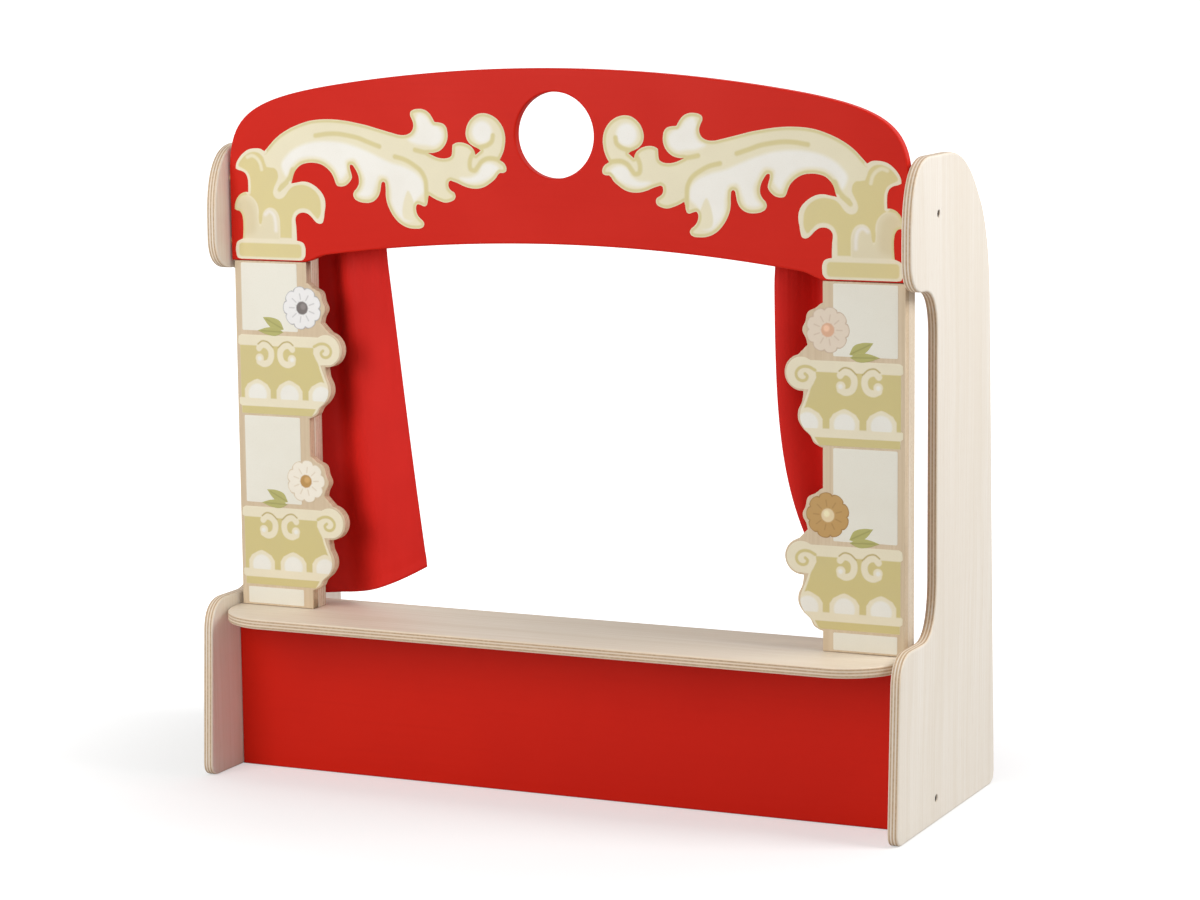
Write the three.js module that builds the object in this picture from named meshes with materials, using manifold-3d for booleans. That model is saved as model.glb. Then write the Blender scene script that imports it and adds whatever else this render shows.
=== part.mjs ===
// A child's table-top puppet theatre: two shaped side panels carry a counter, a front panel and an
// arch, two columns stand on the counter, and two curtains slide on a rod behind the arch.
// Millimetres, +Z up, X across the stage, Y from the audience to the back.

import * as THREE from 'three';
import { mergeVertices } from 'three/addons/utils/BufferGeometryUtils.js';
import Module from 'manifold-3d';

// Whole stand
const standWidth = 700;
const boardThickness = 10;
const edgeEase = 1.4;
const fitGap = 0.3;

// Heights, from the floor up
const floorGap = 0.4;
const counterHeight = 157.3;
const counterThickness = 9.8;
const stageHeight = 330.3;

// Depths, from the front of the feet back
const footDepth = 265;
const stageSetback = 57.8;
const panelSetback = 57.8;
const counterOverhang = 5;
const counterDepth = 119.5;
const counterCornerRound = 57;

// Side panels
const footRound = 13.5;
const lobeRise = 11.4;
const lobeLean = 8.8;
const lobeRound = 29;
const neckSetback = 101.5;
const lowerHollowRun = 34;
const lowerHollowRise = 55;
const upperHollowRise = 43;
const upperHollowRun = 35;
const nubProud = 25.2;
const nubDrop = 8;
const nubRoundRun = 33;
const nubRoundRise = 30;
const browRise = 108.9;
const browRoundRise = 70;
const browRoundRun = 49;
const crownLean = 90.9;
const crownRise = 109.1;
const crownRound = 45;
const shoulderLean = 22.9;
const shoulderRise = 32.7;
const shoulderRound = 43;
const backEaseRun = 70;

// Arch board
const archSideGap = 1.6;
const archStepIn = 3.4;
const archStepRun = 24;
const archStepRise = 7.3;
const stepHandleShare = 0.35;
const archRise = 24;
const archCrown = 182.5;
const archCornerRun = 128.5;
const archCornerFoot = 82.7;
const archSag = 14.7;
const cornerHandleShare = 0.82;
const holeRadius = 39;
const holeRise = 122.4;

// Columns: a sawn front board on a straight post
const columnSideGap = 4.5;
const columnWidth = 77.1;
const postThickness = 15;
const postRise = 74;
const baseHeight = 18.2;
const upperRailDrop = 70.2;
const balconyHeight = 77.5;
const balconyReach = 36;
const voluteRadius = 16.3;
const voluteAboveRail = 4.6;
const voluteStartAngle = 1.35;
const voluteEndAngle = -1.65;
const flowerRadius = 24.2;
const flowerInset = 5;
const flowerRise = 27;
const flowerEndAngle = -0.62;
const petalCount = 9;
const petalDepth = 0.9;
const bellyShares = [[0.51, -0.40], [0.55, -0.49], [0.64, -0.58], [0.65, -0.68],
    [0.52, -0.79], [0.33, -0.87], [0.23, -0.95], [0.08, -0.99]];

// Rods, pins and screws
const rodRadius = 6;
const rodSides = 20;
const rodRise = 57.2;
const clothRoom = 18.9;
const railRadius = 6;
const railHeight = 21.9;
const pinRadius = 3;
const pinSides = 8;
const pinInBoard = 14;
const pinInSideShare = 0.6;
const pinEndGap = 0.5;
const pinChamfer = 0.6;
const counterPinInset = 15;
const counterPinSpacing = 47;
const panelPinHeight = 38;
const panelPinReach = 220;
const archPinRise = 17.5;
const archPinSpacing = 60;
const postPinSpacing = 36;
const columnScrewInset = 48;
const archScrewRise = 18;
const tieScrewLength = 42;
const tieScrewRadius = 2;
const tieHeadRadius = 3.5;
const tieHeadHeight = 2.2;
const tieHeadSink = 1.2;
const boardScrewRadius = 1.6;
const boardScrewTipGap = 2.4;
const boardHeadRadius = 3;
const boardHeadHeight = 1.9;
const boardHeadSink = 0.4;
const driveWidthShare = 0.3;
const driveDepthShare = 0.55;
const screwTipShare = 0.3;
const screwTipLengthShare = 2;
const screwSides = 12;

// Curtains
const clothThickness = 1.2;
const pocketGap = 0.8;
const pocketWall = 2.6;
const pocketRuffle = 1;
const pocketNeck = 13;
const clothSideGap = 18;
const foldDepth = 13;
const foldDepthAtRod = 4.6;
const foldOpenShare = 0.16;
const nearFolds = 1.6;
const addedFolds = 1.9;
const edgeFoldShare = 0.58;
const hemGap = 9;
const foldStations = 34;
const slopeNudgeShare = 0.125;
const hangingRows = 7;
const pocketSides = 8;
const boreSides = 12;
const leftCurtain = {
    side: -1, width: 124.7, leadSweep: -40.1, sweepPower: 1, tuckIn: 2, hemLift: 32, hemDepthShare: 0.5,
    crestShare: 0.18,
};
const rightCurtain = {
    side: 1, width: 121.6, leadSweep: 84.5, sweepPower: 4.5, tuckIn: 2, hemLift: 9, hemDepthShare: 0.55,
    crestShare: 0,
};
const hemLiftStartShare = 0.45;
const hemLiftPower = 1.6;

// Where things stand, worked out from the sizes above
const innerFace = standWidth / 2 - boardThickness;
const archFoot = counterHeight + stageHeight;
const archHalf = innerFace - archSideGap;
const archBack = stageSetback + boardThickness;
const columnOuter = innerFace - columnSideGap;
const columnInner = columnOuter - columnWidth;
const postFront = archBack + fitGap;
const postBack = postFront + postThickness;
const rodSetback = postBack + clothRoom;
const rodHeight = archFoot + rodRise;
const postMiddle = columnInner + columnWidth / 2;
const counterBack = counterDepth - counterOverhang;
const archSpring = columnInner + archStepIn;
const pocketRadius = rodRadius + pocketGap;
const cutOverrun = 1;

const wasm = await Module();
wasm.setup();

const birch = () => new THREE.MeshStandardMaterial({ color: 0xe6d6bd, roughness: 0.55, metalness: 0 });
const redPaint = () => new THREE.MeshStandardMaterial({ color: 0xbe231b, roughness: 0.4, metalness: 0 });
const columnWood = () => new THREE.MeshStandardMaterial({ color: 0xdcc79f, roughness: 0.5, metalness: 0 });
const beech = () => new THREE.MeshStandardMaterial({ color: 0xd8b88a, roughness: 0.6, metalness: 0 });
const steel = () => new THREE.MeshStandardMaterial({ color: 0x6f6f72, roughness: 0.35, metalness: 0.9 });
const cloth = () => new THREE.MeshStandardMaterial({ color: 0xb81a17, roughness: 0.7, metalness: 0 });

// A closed geometry as a solid that can be cut.
function solidOf(geometry) {
    const bare = geometry.clone();
    bare.deleteAttribute('normal');
    bare.deleteAttribute('uv');
    const merged = mergeVertices(bare);
    const mesh = new wasm.Mesh({
        numProp: 3,
        vertProperties: new Float32Array(merged.attributes.position.array),
        triVerts: new Uint32Array(merged.index.array),
    });
    return new wasm.Manifold(mesh);
}

// A solid as a geometry that can be shown.
function geometryOf(solid) {
    const mesh = solid.getMesh();
    const geometry = new THREE.BufferGeometry();
    geometry.setAttribute('position', new THREE.BufferAttribute(new Float32Array(mesh.vertProperties), 3));
    geometry.setIndex(new THREE.BufferAttribute(new Uint32Array(mesh.triVerts), 1));
    geometry.computeVertexNormals();
    return geometry;
}

// One geometry less a list of others.
function cut(geometry, tools) {
    let solid = solidOf(geometry);
    for (const tool of tools) {
        solid = solid.subtract(solidOf(tool));
    }
    return geometryOf(solid);
}

// An outline of straight edges whose corners are curves; each corner is a point and the lengths
// that its curve takes from the edges before and after it.
function corneredShape(corners) {
    const shape = new THREE.Shape();
    const count = corners.length;
    corners.forEach((corner, i) => {
        const point = new THREE.Vector2(...corner.at);
        const last = new THREE.Vector2(...corners[(i + count - 1) % count].at);
        const next = new THREE.Vector2(...corners[(i + 1) % count].at);
        const entry = last.sub(point).setLength(corner.before).add(point);
        const exit = next.sub(point).setLength(corner.after).add(point);
        if (i === 0) {
            shape.moveTo(entry.x, entry.y);
        } else {
            shape.lineTo(entry.x, entry.y);
        }
        shape.quadraticCurveTo(point.x, point.y, exit.x, exit.y);
    });
    shape.closePath();
    return shape;
}

// A flat board with eased edges, from z = 0 up to its thickness.
function sawnBoard(shape, thickness, curveSegments) {
    const geometry = new THREE.ExtrudeGeometry(shape, {
        depth: thickness - 2 * edgeEase,
        bevelEnabled: true,
        bevelThickness: edgeEase,
        bevelSize: edgeEase,
        bevelOffset: -edgeEase,
        bevelSegments: 1,
        curveSegments,
    });
    return geometry.translate(0, 0, edgeEase);
}

// Turns a board drawn in x and y to stand across the stage, its face at the given depth.
function standAcross(geometry, frontY, thickness) {
    return geometry.rotateX(Math.PI / 2).translate(0, frontY + thickness, 0);
}

// Turns a board drawn in depth and height to stand at the given x.
function standSideways(geometry, lowX) {
    const turn = new THREE.Matrix4().makeBasis(
        new THREE.Vector3(0, 1, 0), new THREE.Vector3(0, 0, 1), new THREE.Vector3(1, 0, 0));
    return geometry.applyMatrix4(turn).translate(lowX, 0, 0);
}

// A turned solid from its profile of radius and length, laid from one point along a direction.
function turnedFrom(profile, sides, start, direction) {
    const points = profile.map(([radius, along]) => new THREE.Vector2(radius, along));
    const geometry = new THREE.LatheGeometry(points, sides);
    const turn = new THREE.Quaternion().setFromUnitVectors(new THREE.Vector3(0, 1, 0), direction);
    return geometry.applyQuaternion(turn).translate(...start);
}

const directions = {
    right: new THREE.Vector3(1, 0, 0),
    left: new THREE.Vector3(-1, 0, 0),
    up: new THREE.Vector3(0, 0, 1),
    front: new THREE.Vector3(0, -1, 0),
};

// A round wooden pin with chamfered ends, and the hole that holds it.
function pinGeometry(pin) {
    const profile = [[0, 0], [pinRadius - pinChamfer, 0], [pinRadius, pinChamfer],
        [pinRadius, pin.length - pinChamfer], [pinRadius - pinChamfer, pin.length], [0, pin.length]];
    return turnedFrom(profile, pinSides, pin.start, directions[pin.direction]);
}

function pinHole(pin) {
    const radius = pinRadius + fitGap;
    const profile = [[0, -pinEndGap], [radius, -pinEndGap],
        [radius, pin.length + pinEndGap], [0, pin.length + pinEndGap]];
    return turnedFrom(profile, pinSides, pin.start, directions[pin.direction]);
}

// A countersunk screw; its start is the middle of its head's face.
function screwProfile(screw, grow, tail) {
    const head = screw.headRadius + grow;
    const shank = screw.radius + grow;
    const tip = screw.radius * screwTipShare + grow;
    const shankEnd = screw.length - screw.radius * screwTipLengthShare;
    const end = screw.length + grow;
    return [[0, -tail], [head, -tail], [head, grow], [shank, screw.headHeight + grow],
        [shank, shankEnd], [tip, end], [0, end]];
}

function screwGeometry(screw) {
    const direction = directions[screw.direction];
    const body = turnedFrom(screwProfile(screw, 0, 0), screwSides, screw.start, direction);
    const turn = new THREE.Quaternion().setFromUnitVectors(new THREE.Vector3(0, 1, 0), direction);
    const slotLength = screw.headRadius;
    const slotWidth = screw.headRadius * driveWidthShare;
    const slotDepth = screw.headHeight * driveDepthShare;
    const slots = [[slotLength, slotWidth], [slotWidth, slotLength]].map(([wide, deep]) => {
        const slot = new THREE.BoxGeometry(wide, 2 * slotDepth, deep);
        return slot.applyQuaternion(turn).translate(...screw.start);
    });
    return cut(body, slots);
}

function screwHole(screw) {
    const profile = screwProfile(screw, fitGap, screw.sink + cutOverrun);
    return turnedFrom(profile, screwSides, screw.start, directions[screw.direction]);
}

// The side panel's outline, in depth and height.
function sidePanelShape() {
    const lobeTop = counterHeight + lobeRise;
    const nubFront = stageSetback - nubProud;
    const nubBottom = archFoot - nubDrop;
    const crownTop = archFoot + crownRise;
    const shoulder = [footDepth - shoulderLean, archFoot + shoulderRise];
    return corneredShape([
        { at: [0, 0], before: footRound, after: footRound },
        { at: [lobeLean, lobeTop], before: lobeRound, after: lobeRound },
        { at: [neckSetback, lobeTop], before: lowerHollowRun, after: lowerHollowRise },
        { at: [neckSetback, nubBottom], before: upperHollowRise, after: upperHollowRun },
        { at: [nubFront, nubBottom], before: nubRoundRun, after: nubRoundRise },
        { at: [nubFront, archFoot + browRise], before: browRoundRise, after: browRoundRun },
        { at: [footDepth - crownLean, crownTop], before: crownRound, after: crownRound },
        { at: shoulder, before: shoulderRound, after: backEaseRun },
        { at: [footDepth, 0], before: footRound, after: footRound },
    ]);
}

function sidePanel(side, fasteners) {
    const curveSegments = 6;
    const board = sawnBoard(sidePanelShape(), boardThickness, curveSegments);
    const lowX = side < 0 ? -standWidth / 2 : innerFace;
    return cut(standSideways(board, lowX), holesFor(fasteners));
}

// The counter: square at the back, with large rounded corners at the front.
function counter(fasteners) {
    const half = innerFace - fitGap;
    const front = -counterOverhang;
    const cornerSegments = 8;
    const shape = new THREE.Shape();
    shape.moveTo(-half, counterBack);
    shape.lineTo(-half, front + counterCornerRound);
    shape.absarc(-half + counterCornerRound, front + counterCornerRound, counterCornerRound,
        Math.PI, 1.5 * Math.PI, false);
    shape.lineTo(half - counterCornerRound, front);
    shape.absarc(half - counterCornerRound, front + counterCornerRound, counterCornerRound,
        1.5 * Math.PI, 2 * Math.PI, false);
    shape.lineTo(half, counterBack);
    shape.closePath();
    const board = sawnBoard(shape, counterThickness, cornerSegments);
    return cut(board.translate(0, 0, counterHeight - counterThickness), holesFor(fasteners));
}

function rectangleShape(lowX, lowY, highX, highY) {
    const shape = new THREE.Shape();
    shape.moveTo(lowX, lowY);
    shape.lineTo(highX, lowY);
    shape.lineTo(highX, highY);
    shape.lineTo(lowX, highY);
    shape.closePath();
    return shape;
}

function frontPanel(fasteners) {
    const half = innerFace - fitGap;
    const top = counterHeight - counterThickness - fitGap;
    const board = sawnBoard(rectangleShape(-half, floorGap, half, top), boardThickness, 1);
    return cut(standAcross(board, panelSetback, boardThickness), holesFor(fasteners));
}

// The arch: flat feet over the columns, a shallow curve over the stage, a crowned top and a hole.
function archBoard(fasteners) {
    const curveSegments = 12;
    const underside = archFoot + archRise;
    const stepX = archSpring - archStepRun;
    const stepZ = archFoot + archStepRise;
    const stepHandle = archStepRun * stepHandleShare;
    const stepFall = stepHandle * 2 * (archRise - archStepRise) / stepX;
    const top = archFoot + archCrown;
    const cornerX = archHalf - archCornerRun;
    const cornerZ = archFoot + archCornerFoot;
    const cornerTop = top - archSag;
    const cornerSlope = 2 * archSag / cornerX;
    const handleX = archCornerRun * cornerHandleShare;
    const handleZ = (cornerTop - cornerSlope * archCornerRun - cornerZ) * cornerHandleShare;
    const shape = new THREE.Shape();
    shape.moveTo(-archHalf, archFoot);
    shape.lineTo(-archSpring, archFoot);
    shape.bezierCurveTo(-archSpring + stepHandle, archFoot, -stepX - stepHandle, stepZ - stepFall,
        -stepX, stepZ);
    shape.quadraticCurveTo(0, 2 * underside - stepZ, stepX, stepZ);
    shape.bezierCurveTo(stepX + stepHandle, stepZ - stepFall, archSpring - stepHandle, archFoot,
        archSpring, archFoot);
    shape.lineTo(archHalf, archFoot);
    shape.lineTo(archHalf, cornerZ);
    shape.bezierCurveTo(archHalf, cornerZ + handleZ, cornerX + handleX, cornerTop - cornerSlope * handleX,
        cornerX, cornerTop);
    shape.quadraticCurveTo(0, top + archSag, -cornerX, cornerTop);
    shape.bezierCurveTo(-cornerX - handleX, cornerTop - cornerSlope * handleX, -archHalf, cornerZ + handleZ,
        -archHalf, cornerZ);
    shape.closePath();
    const hole = new THREE.Path();
    hole.absarc(0, archFoot + holeRise, holeRadius, 0, 2 * Math.PI, true);
    shape.holes.push(hole);
    const board = sawnBoard(shape, boardThickness, curveSegments);
    return cut(standAcross(board, stageSetback, boardThickness), holesFor(fasteners));
}

// One balcony on a column's inner edge, from the flower above its rail down to its underside.
// Points are given inward from the column's straight edge, and up from the rail.
function addBalcony(shape, point, rail) {
    const flowerSteps = 14;
    const voluteSteps = 12;
    const flowerStart = Math.acos(flowerInset / flowerRadius);
    for (let i = 0; i <= flowerSteps; i++) {
        const angle = flowerStart + (flowerEndAngle - flowerStart) * i / flowerSteps;
        const petal = Math.cos(petalCount * (angle - flowerStart));
        const radius = flowerRadius + petalDepth * (petal - 1);
        const inward = radius * Math.cos(angle) - flowerInset;
        shape.lineTo(...point(inward, rail + flowerRise + radius * Math.sin(angle)));
    }
    const voluteIn = balconyReach - voluteRadius;
    const voluteUp = rail + voluteAboveRail - voluteRadius;
    for (let i = 0; i <= voluteSteps; i++) {
        const angle = voluteStartAngle + (voluteEndAngle - voluteStartAngle) * i / voluteSteps;
        const inward = voluteIn + voluteRadius * Math.cos(angle);
        shape.lineTo(...point(inward, voluteUp + voluteRadius * Math.sin(angle)));
    }
    const belly = bellyShares.map(([inward, up]) => point(inward * balconyReach, rail + up * balconyHeight));
    shape.lineTo(...belly[0]);
    shape.splineThru(belly.slice(1).map((place) => new THREE.Vector2(...place)));
    shape.lineTo(...point(0, rail - balconyHeight));
}

// A column's front board: straight outside, two balconies on the side of the stage.
function columnBoard(side, fasteners) {
    const curveSegments = 2;
    const bottom = counterHeight + fitGap;
    const top = archFoot - fitGap;
    const point = (inward, up) => [side * (columnInner - inward), up];
    const shape = new THREE.Shape();
    shape.moveTo(...point(-columnWidth, bottom));
    shape.lineTo(...point(-columnWidth, top));
    shape.lineTo(...point(0, top));
    addBalcony(shape, point, archFoot - upperRailDrop);
    addBalcony(shape, point, counterHeight + baseHeight + balconyHeight);
    shape.lineTo(...point(0, bottom));
    shape.closePath();
    const board = sawnBoard(shape, boardThickness, curveSegments);
    return cut(standAcross(board, stageSetback, boardThickness), holesFor(fasteners));
}

// A column's post: a thicker straight board that runs on up behind the arch.
function columnPost(side, fasteners) {
    const half = columnWidth / 2;
    const shape = rectangleShape(-half, counterHeight + fitGap, half, archFoot + postRise);
    const board = sawnBoard(shape, postThickness, 1).translate(side * postMiddle, 0, 0);
    return cut(standAcross(board, postFront, postThickness), holesFor(fasteners));
}

// A round rod between the side panels.
function crossRod(radius, height, fasteners) {
    const half = innerFace - fitGap;
    const profile = [[0, 0], [radius, 0], [radius, 2 * half], [0, 2 * half]];
    const rod = turnedFrom(profile, rodSides, [-half, rodSetback, height], directions.right);
    return cut(rod, holesFor(fasteners));
}

// Where a curtain's cloth lies: across is 0 at its outer edge and 1 at its leading edge, and down is
// 0 under the rod and 1 at the hem.
function clothPoint(curtain, across, down) {
    const outer = innerFace - clothSideGap - curtain.tuckIn * down;
    const sweep = curtain.leadSweep * down ** curtain.sweepPower;
    const lead = innerFace - clothSideGap - curtain.width + sweep;
    const fromCrest = 1 - across - curtain.crestShare;
    const folds = fromCrest > 0
        ? nearFolds * fromCrest + addedFolds * fromCrest ** 2
        : edgeFoldShare * nearFolds * fromCrest;
    const opening = Math.min(1, down / foldOpenShare);
    const eased = opening * opening * (3 - 2 * opening);
    const open = foldDepthAtRod + (foldDepth - foldDepthAtRod) * eased;
    const depth = open * (1 - (1 - curtain.hemDepthShare) * down);
    const top = rodHeight - pocketNeck;
    const lift = Math.max(0, (across - hemLiftStartShare) / (1 - hemLiftStartShare)) ** hemLiftPower;
    const hem = counterHeight + hemGap + curtain.hemLift * lift;
    return {
        x: curtain.side * (outer + (lead - outer) * across),
        y: rodSetback - depth * Math.cos(2 * Math.PI * folds),
        z: top + (hem - top) * down,
        wave: Math.cos(2 * Math.PI * folds),
    };
}

// The point of the cloth's front or back face, half the cloth's thickness off its middle.
function clothFace(curtain, across, down, towardsBack) {
    const nudge = slopeNudgeShare / foldStations;
    const middle = clothPoint(curtain, across, down);
    const before = clothPoint(curtain, across - nudge, down);
    const after = clothPoint(curtain, across + nudge, down);
    const run = (after.x - before.x) * curtain.side;
    const rise = after.y - before.y;
    const offset = -towardsBack * clothThickness / 2 / Math.hypot(run, rise);
    return [middle.x - curtain.side * rise * offset, middle.y + run * offset, middle.z];
}

// One slice of a curtain: up its front, round the rod pocket and down its back.
function clothSlice(curtain, across) {
    const slice = [];
    for (let row = hangingRows; row >= 0; row--) {
        slice.push(clothFace(curtain, across, row / hangingRows, -1));
    }
    const { x, wave } = clothPoint(curtain, across, 0);
    const radius = pocketRadius + pocketWall + pocketRuffle * wave;
    const tail = Math.asin(foldDepthAtRod * wave / radius);
    const halfNeck = Math.asin(clothThickness / radius);
    for (let i = 0; i <= pocketSides; i++) {
        const angle = tail + halfNeck + (2 * Math.PI - 2 * halfNeck) * i / pocketSides;
        slice.push([x, rodSetback - radius * Math.sin(angle), rodHeight - radius * Math.cos(angle)]);
    }
    for (let row = 0; row <= hangingRows; row++) {
        slice.push(clothFace(curtain, across, row / hangingRows, 1));
    }
    return slice;
}

// A curtain: gathered cloth with its folds, closed round the rod by a sewn pocket.
function curtainGeometry(curtain) {
    const slices = [];
    for (let i = 0; i <= foldStations; i++) {
        slices.push(clothSlice(curtain, i / foldStations));
    }
    const bores = [0, 1].map((across) => {
        const { x } = clothPoint(curtain, across, 0);
        const ring = [];
        for (let i = 0; i < boreSides; i++) {
            const angle = 2 * Math.PI * i / boreSides;
            const y = rodSetback - pocketRadius * Math.sin(angle);
            ring.push([x, y, rodHeight - pocketRadius * Math.cos(angle)]);
        }
        return ring;
    });
    const points = [...slices.flat(), ...bores.flat()];
    const around = slices[0].length;
    const boreStart = slices.length * around;
    const faces = [];
    const addQuad = (a, b, c, d) => faces.push(a, b, c, a, c, d);
    for (let i = 0; i < foldStations; i++) {
        for (let j = 0; j < around; j++) {
            const next = (j + 1) % around;
            const low = i * around;
            const high = low + around;
            addQuad(low + j, high + j, high + next, low + next);
        }
    }
    for (let i = 0; i < boreSides; i++) {
        const next = (i + 1) % boreSides;
        addQuad(boreStart + i, boreStart + next, boreStart + boreSides + next, boreStart + boreSides + i);
    }
    addCurtainEnd(faces, points, 0, boreStart, around, false);
    addCurtainEnd(faces, points, foldStations * around, boreStart + boreSides, around, true);
    const geometry = new THREE.BufferGeometry();
    geometry.setAttribute('position', new THREE.Float32BufferAttribute(points.flat(), 3));
    geometry.setIndex(curtain.side < 0 ? faces : faces.reverse());
    geometry.computeVertexNormals();
    return geometry;
}

// Closes one edge of a curtain: the slice's outline with the rod's bore left open.
function addCurtainEnd(faces, points, sliceStart, boreStart, around, flipped) {
    const outline = [];
    for (let i = 0; i < around; i++) {
        outline.push(sliceStart + i);
    }
    const bore = [];
    for (let i = 0; i < boreSides; i++) {
        bore.push(boreStart + i);
    }
    const flat = (index) => new THREE.Vector2(points[index][1], points[index][2]);
    const outlineFlat = outline.map(flat);
    const sameWay = THREE.ShapeUtils.area(outlineFlat) > 0;
    const indices = [...outline, ...bore];
    for (const [a, b, c] of THREE.ShapeUtils.triangulateShape(outlineFlat, [bore.map(flat)])) {
        const triangle = [indices[a], indices[b], indices[c]];
        const triangleWay = THREE.ShapeUtils.area(triangle.map(flat)) > 0;
        if ((triangleWay === sameWay) === flipped) {
            triangle.reverse();
        }
        faces.push(...triangle);
    }
}

// Every pin and screw, each with the pieces that it joins.
function listFasteners() {
    const list = [];
    const pinInSide = boardThickness * pinInSideShare;
    const pinInCounter = counterThickness * pinInSideShare;
    const panelTop = counterHeight - counterThickness - fitGap;
    const archMiddle = stageSetback + boardThickness / 2;
    const panelMiddle = panelSetback + boardThickness / 2;
    const sidePin = (side, name, boardEnd, y, z, joins) => list.push({
        name: `${side.name}_${name}`,
        kind: 'pin',
        start: [side.sign * (boardEnd - pinInBoard), y, z],
        direction: side.name,
        length: pinInBoard + innerFace - boardEnd + pinInSide,
        joins: [...joins, `${side.name}_side_panel`],
    });
    const upPin = (name, x, y, boardEnd, inLower, inUpper, joins) => list.push({
        name,
        kind: 'pin',
        start: [x, y, boardEnd - inLower],
        direction: 'up',
        length: inLower + fitGap + inUpper,
        joins,
    });
    const screw = (name, start, direction, length, sizes, joins) => list.push({
        name, kind: 'screw', start, direction, length, ...sizes, joins,
    });
    const tieSizes = {
        radius: tieScrewRadius,
        headRadius: tieHeadRadius,
        headHeight: tieHeadHeight,
        sink: tieHeadSink,
    };
    const boardSizes = {
        radius: boardScrewRadius,
        headRadius: boardHeadRadius,
        headHeight: boardHeadHeight,
        sink: boardHeadSink,
    };
    const boardScrewLength = postThickness - boardHeadSink + fitGap + boardThickness - boardScrewTipGap;
    const sides = [{ name: 'left', sign: -1, inward: 'right' }, { name: 'right', sign: 1, inward: 'left' }];
    for (const side of sides) {
        const boardEnd = innerFace - fitGap;
        const counterMiddle = counterHeight - counterThickness / 2;
        const pinBack = counterBack - counterPinInset;
        const pinLow = archFoot + archPinRise;
        const panelPinHigh = panelTop - panelPinHeight;
        sidePin(side, 'counter_pin_back', boardEnd, pinBack, counterMiddle, ['counter']);
        sidePin(side, 'counter_pin_front', boardEnd, pinBack - counterPinSpacing, counterMiddle, ['counter']);
        sidePin(side, 'front_panel_pin_low', boardEnd, panelMiddle, panelPinHeight, ['front_panel']);
        sidePin(side, 'front_panel_pin_high', boardEnd, panelMiddle, panelPinHigh, ['front_panel']);
        sidePin(side, 'arch_pin_low', archHalf, archMiddle, pinLow, ['arch_board']);
        sidePin(side, 'arch_pin_high', archHalf, archMiddle, pinLow + archPinSpacing, ['arch_board']);
        const postX = side.sign * postMiddle;
        const postY = postFront + postThickness / 2;
        for (const [place, shift] of [['outer', 1], ['inner', -1]]) {
            upPin(`${side.name}_post_pin_${place}`, postX + side.sign * shift * postPinSpacing / 2, postY,
                counterHeight, pinInCounter, pinInBoard, ['counter', `${side.name}_column_post`]);
        }
        const column = [`${side.name}_column_board`, `${side.name}_column_post`];
        const behindArch = ['arch_board', `${side.name}_column_post`];
        const headY = postBack - boardHeadSink;
        for (const [place, z, joins] of [
            ['column_screw_low', counterHeight + columnScrewInset, column],
            ['column_screw_high', archFoot - columnScrewInset, column],
            ['arch_screw_low', archFoot + archScrewRise, behindArch],
            ['arch_screw_high', archFoot + postRise - archScrewRise, behindArch],
        ]) {
            screw(`${side.name}_${place}`, [postX, headY, z], 'front', boardScrewLength, boardSizes, joins);
        }
        const tieX = side.sign * (standWidth / 2 - tieHeadSink);
        const panel = `${side.name}_side_panel`;
        for (const [place, z, rod] of [
            ['rod_screw', rodHeight, 'curtain_rod'],
            ['rail_screw', railHeight, 'bottom_rail'],
        ]) {
            const start = [tieX, rodSetback, z];
            screw(`${side.name}_${place}`, start, side.inward, tieScrewLength, tieSizes, [panel, rod]);
        }
    }
    for (const [place, x] of [['left', -panelPinReach], ['middle', 0], ['right', panelPinReach]]) {
        upPin(`panel_top_pin_${place}`, x, panelMiddle, panelTop, pinInBoard, pinInCounter,
            ['counter', 'front_panel']);
    }
    return list;
}

const fasteners = listFasteners();
const holding = (name) => fasteners.filter((fastener) => fastener.joins.includes(name));
const holesFor = (list) => list.map((fastener) => (
    fastener.kind === 'pin' ? pinHole(fastener) : screwHole(fastener)));

const stand = new THREE.Group();

function add(name, geometry, material) {
    const mesh = new THREE.Mesh(geometry, material);
    mesh.name = name;
    stand.add(mesh);
}

for (const [name, side, curtain] of [['left', -1, leftCurtain], ['right', 1, rightCurtain]]) {
    add(`${name}_side_panel`, sidePanel(side, holding(`${name}_side_panel`)), birch());
    add(`${name}_column_board`, columnBoard(side, holding(`${name}_column_board`)), columnWood());
    add(`${name}_column_post`, columnPost(side, holding(`${name}_column_post`)), birch());
    add(`${name}_curtain`, curtainGeometry(curtain), cloth());
}
add('counter', counter(holding('counter')), birch());
add('front_panel', frontPanel(holding('front_panel')), redPaint());
add('arch_board', archBoard(holding('arch_board')), redPaint());
add('curtain_rod', crossRod(rodRadius, rodHeight, holding('curtain_rod')), beech());
add('bottom_rail', crossRod(railRadius, railHeight, holding('bottom_rail')), beech());
for (const fastener of fasteners) {
    if (fastener.kind === 'pin') {
        add(fastener.name, pinGeometry(fastener), beech());
    } else {
        add(fastener.name, screwGeometry(fastener), steel());
    }
}

// The origin is at the middle of the stand, on the floor.
const extent = new THREE.Box3().setFromObject(stand);
stand.position.y = -extent.getCenter(new THREE.Vector3()).y;

export default stand;
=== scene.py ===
"""The finishes, painted ornament and curtains of a child's table-top puppet theatre.

Lengths are in millimetres until a mesh is made. X runs across the stage, Y from the audience to the
back, and Z up."""

import math

import bmesh
import bpy
import numpy as np
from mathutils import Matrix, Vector
from mathutils.geometry import delaunay_2d_cdt, tessellate_polygon


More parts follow.
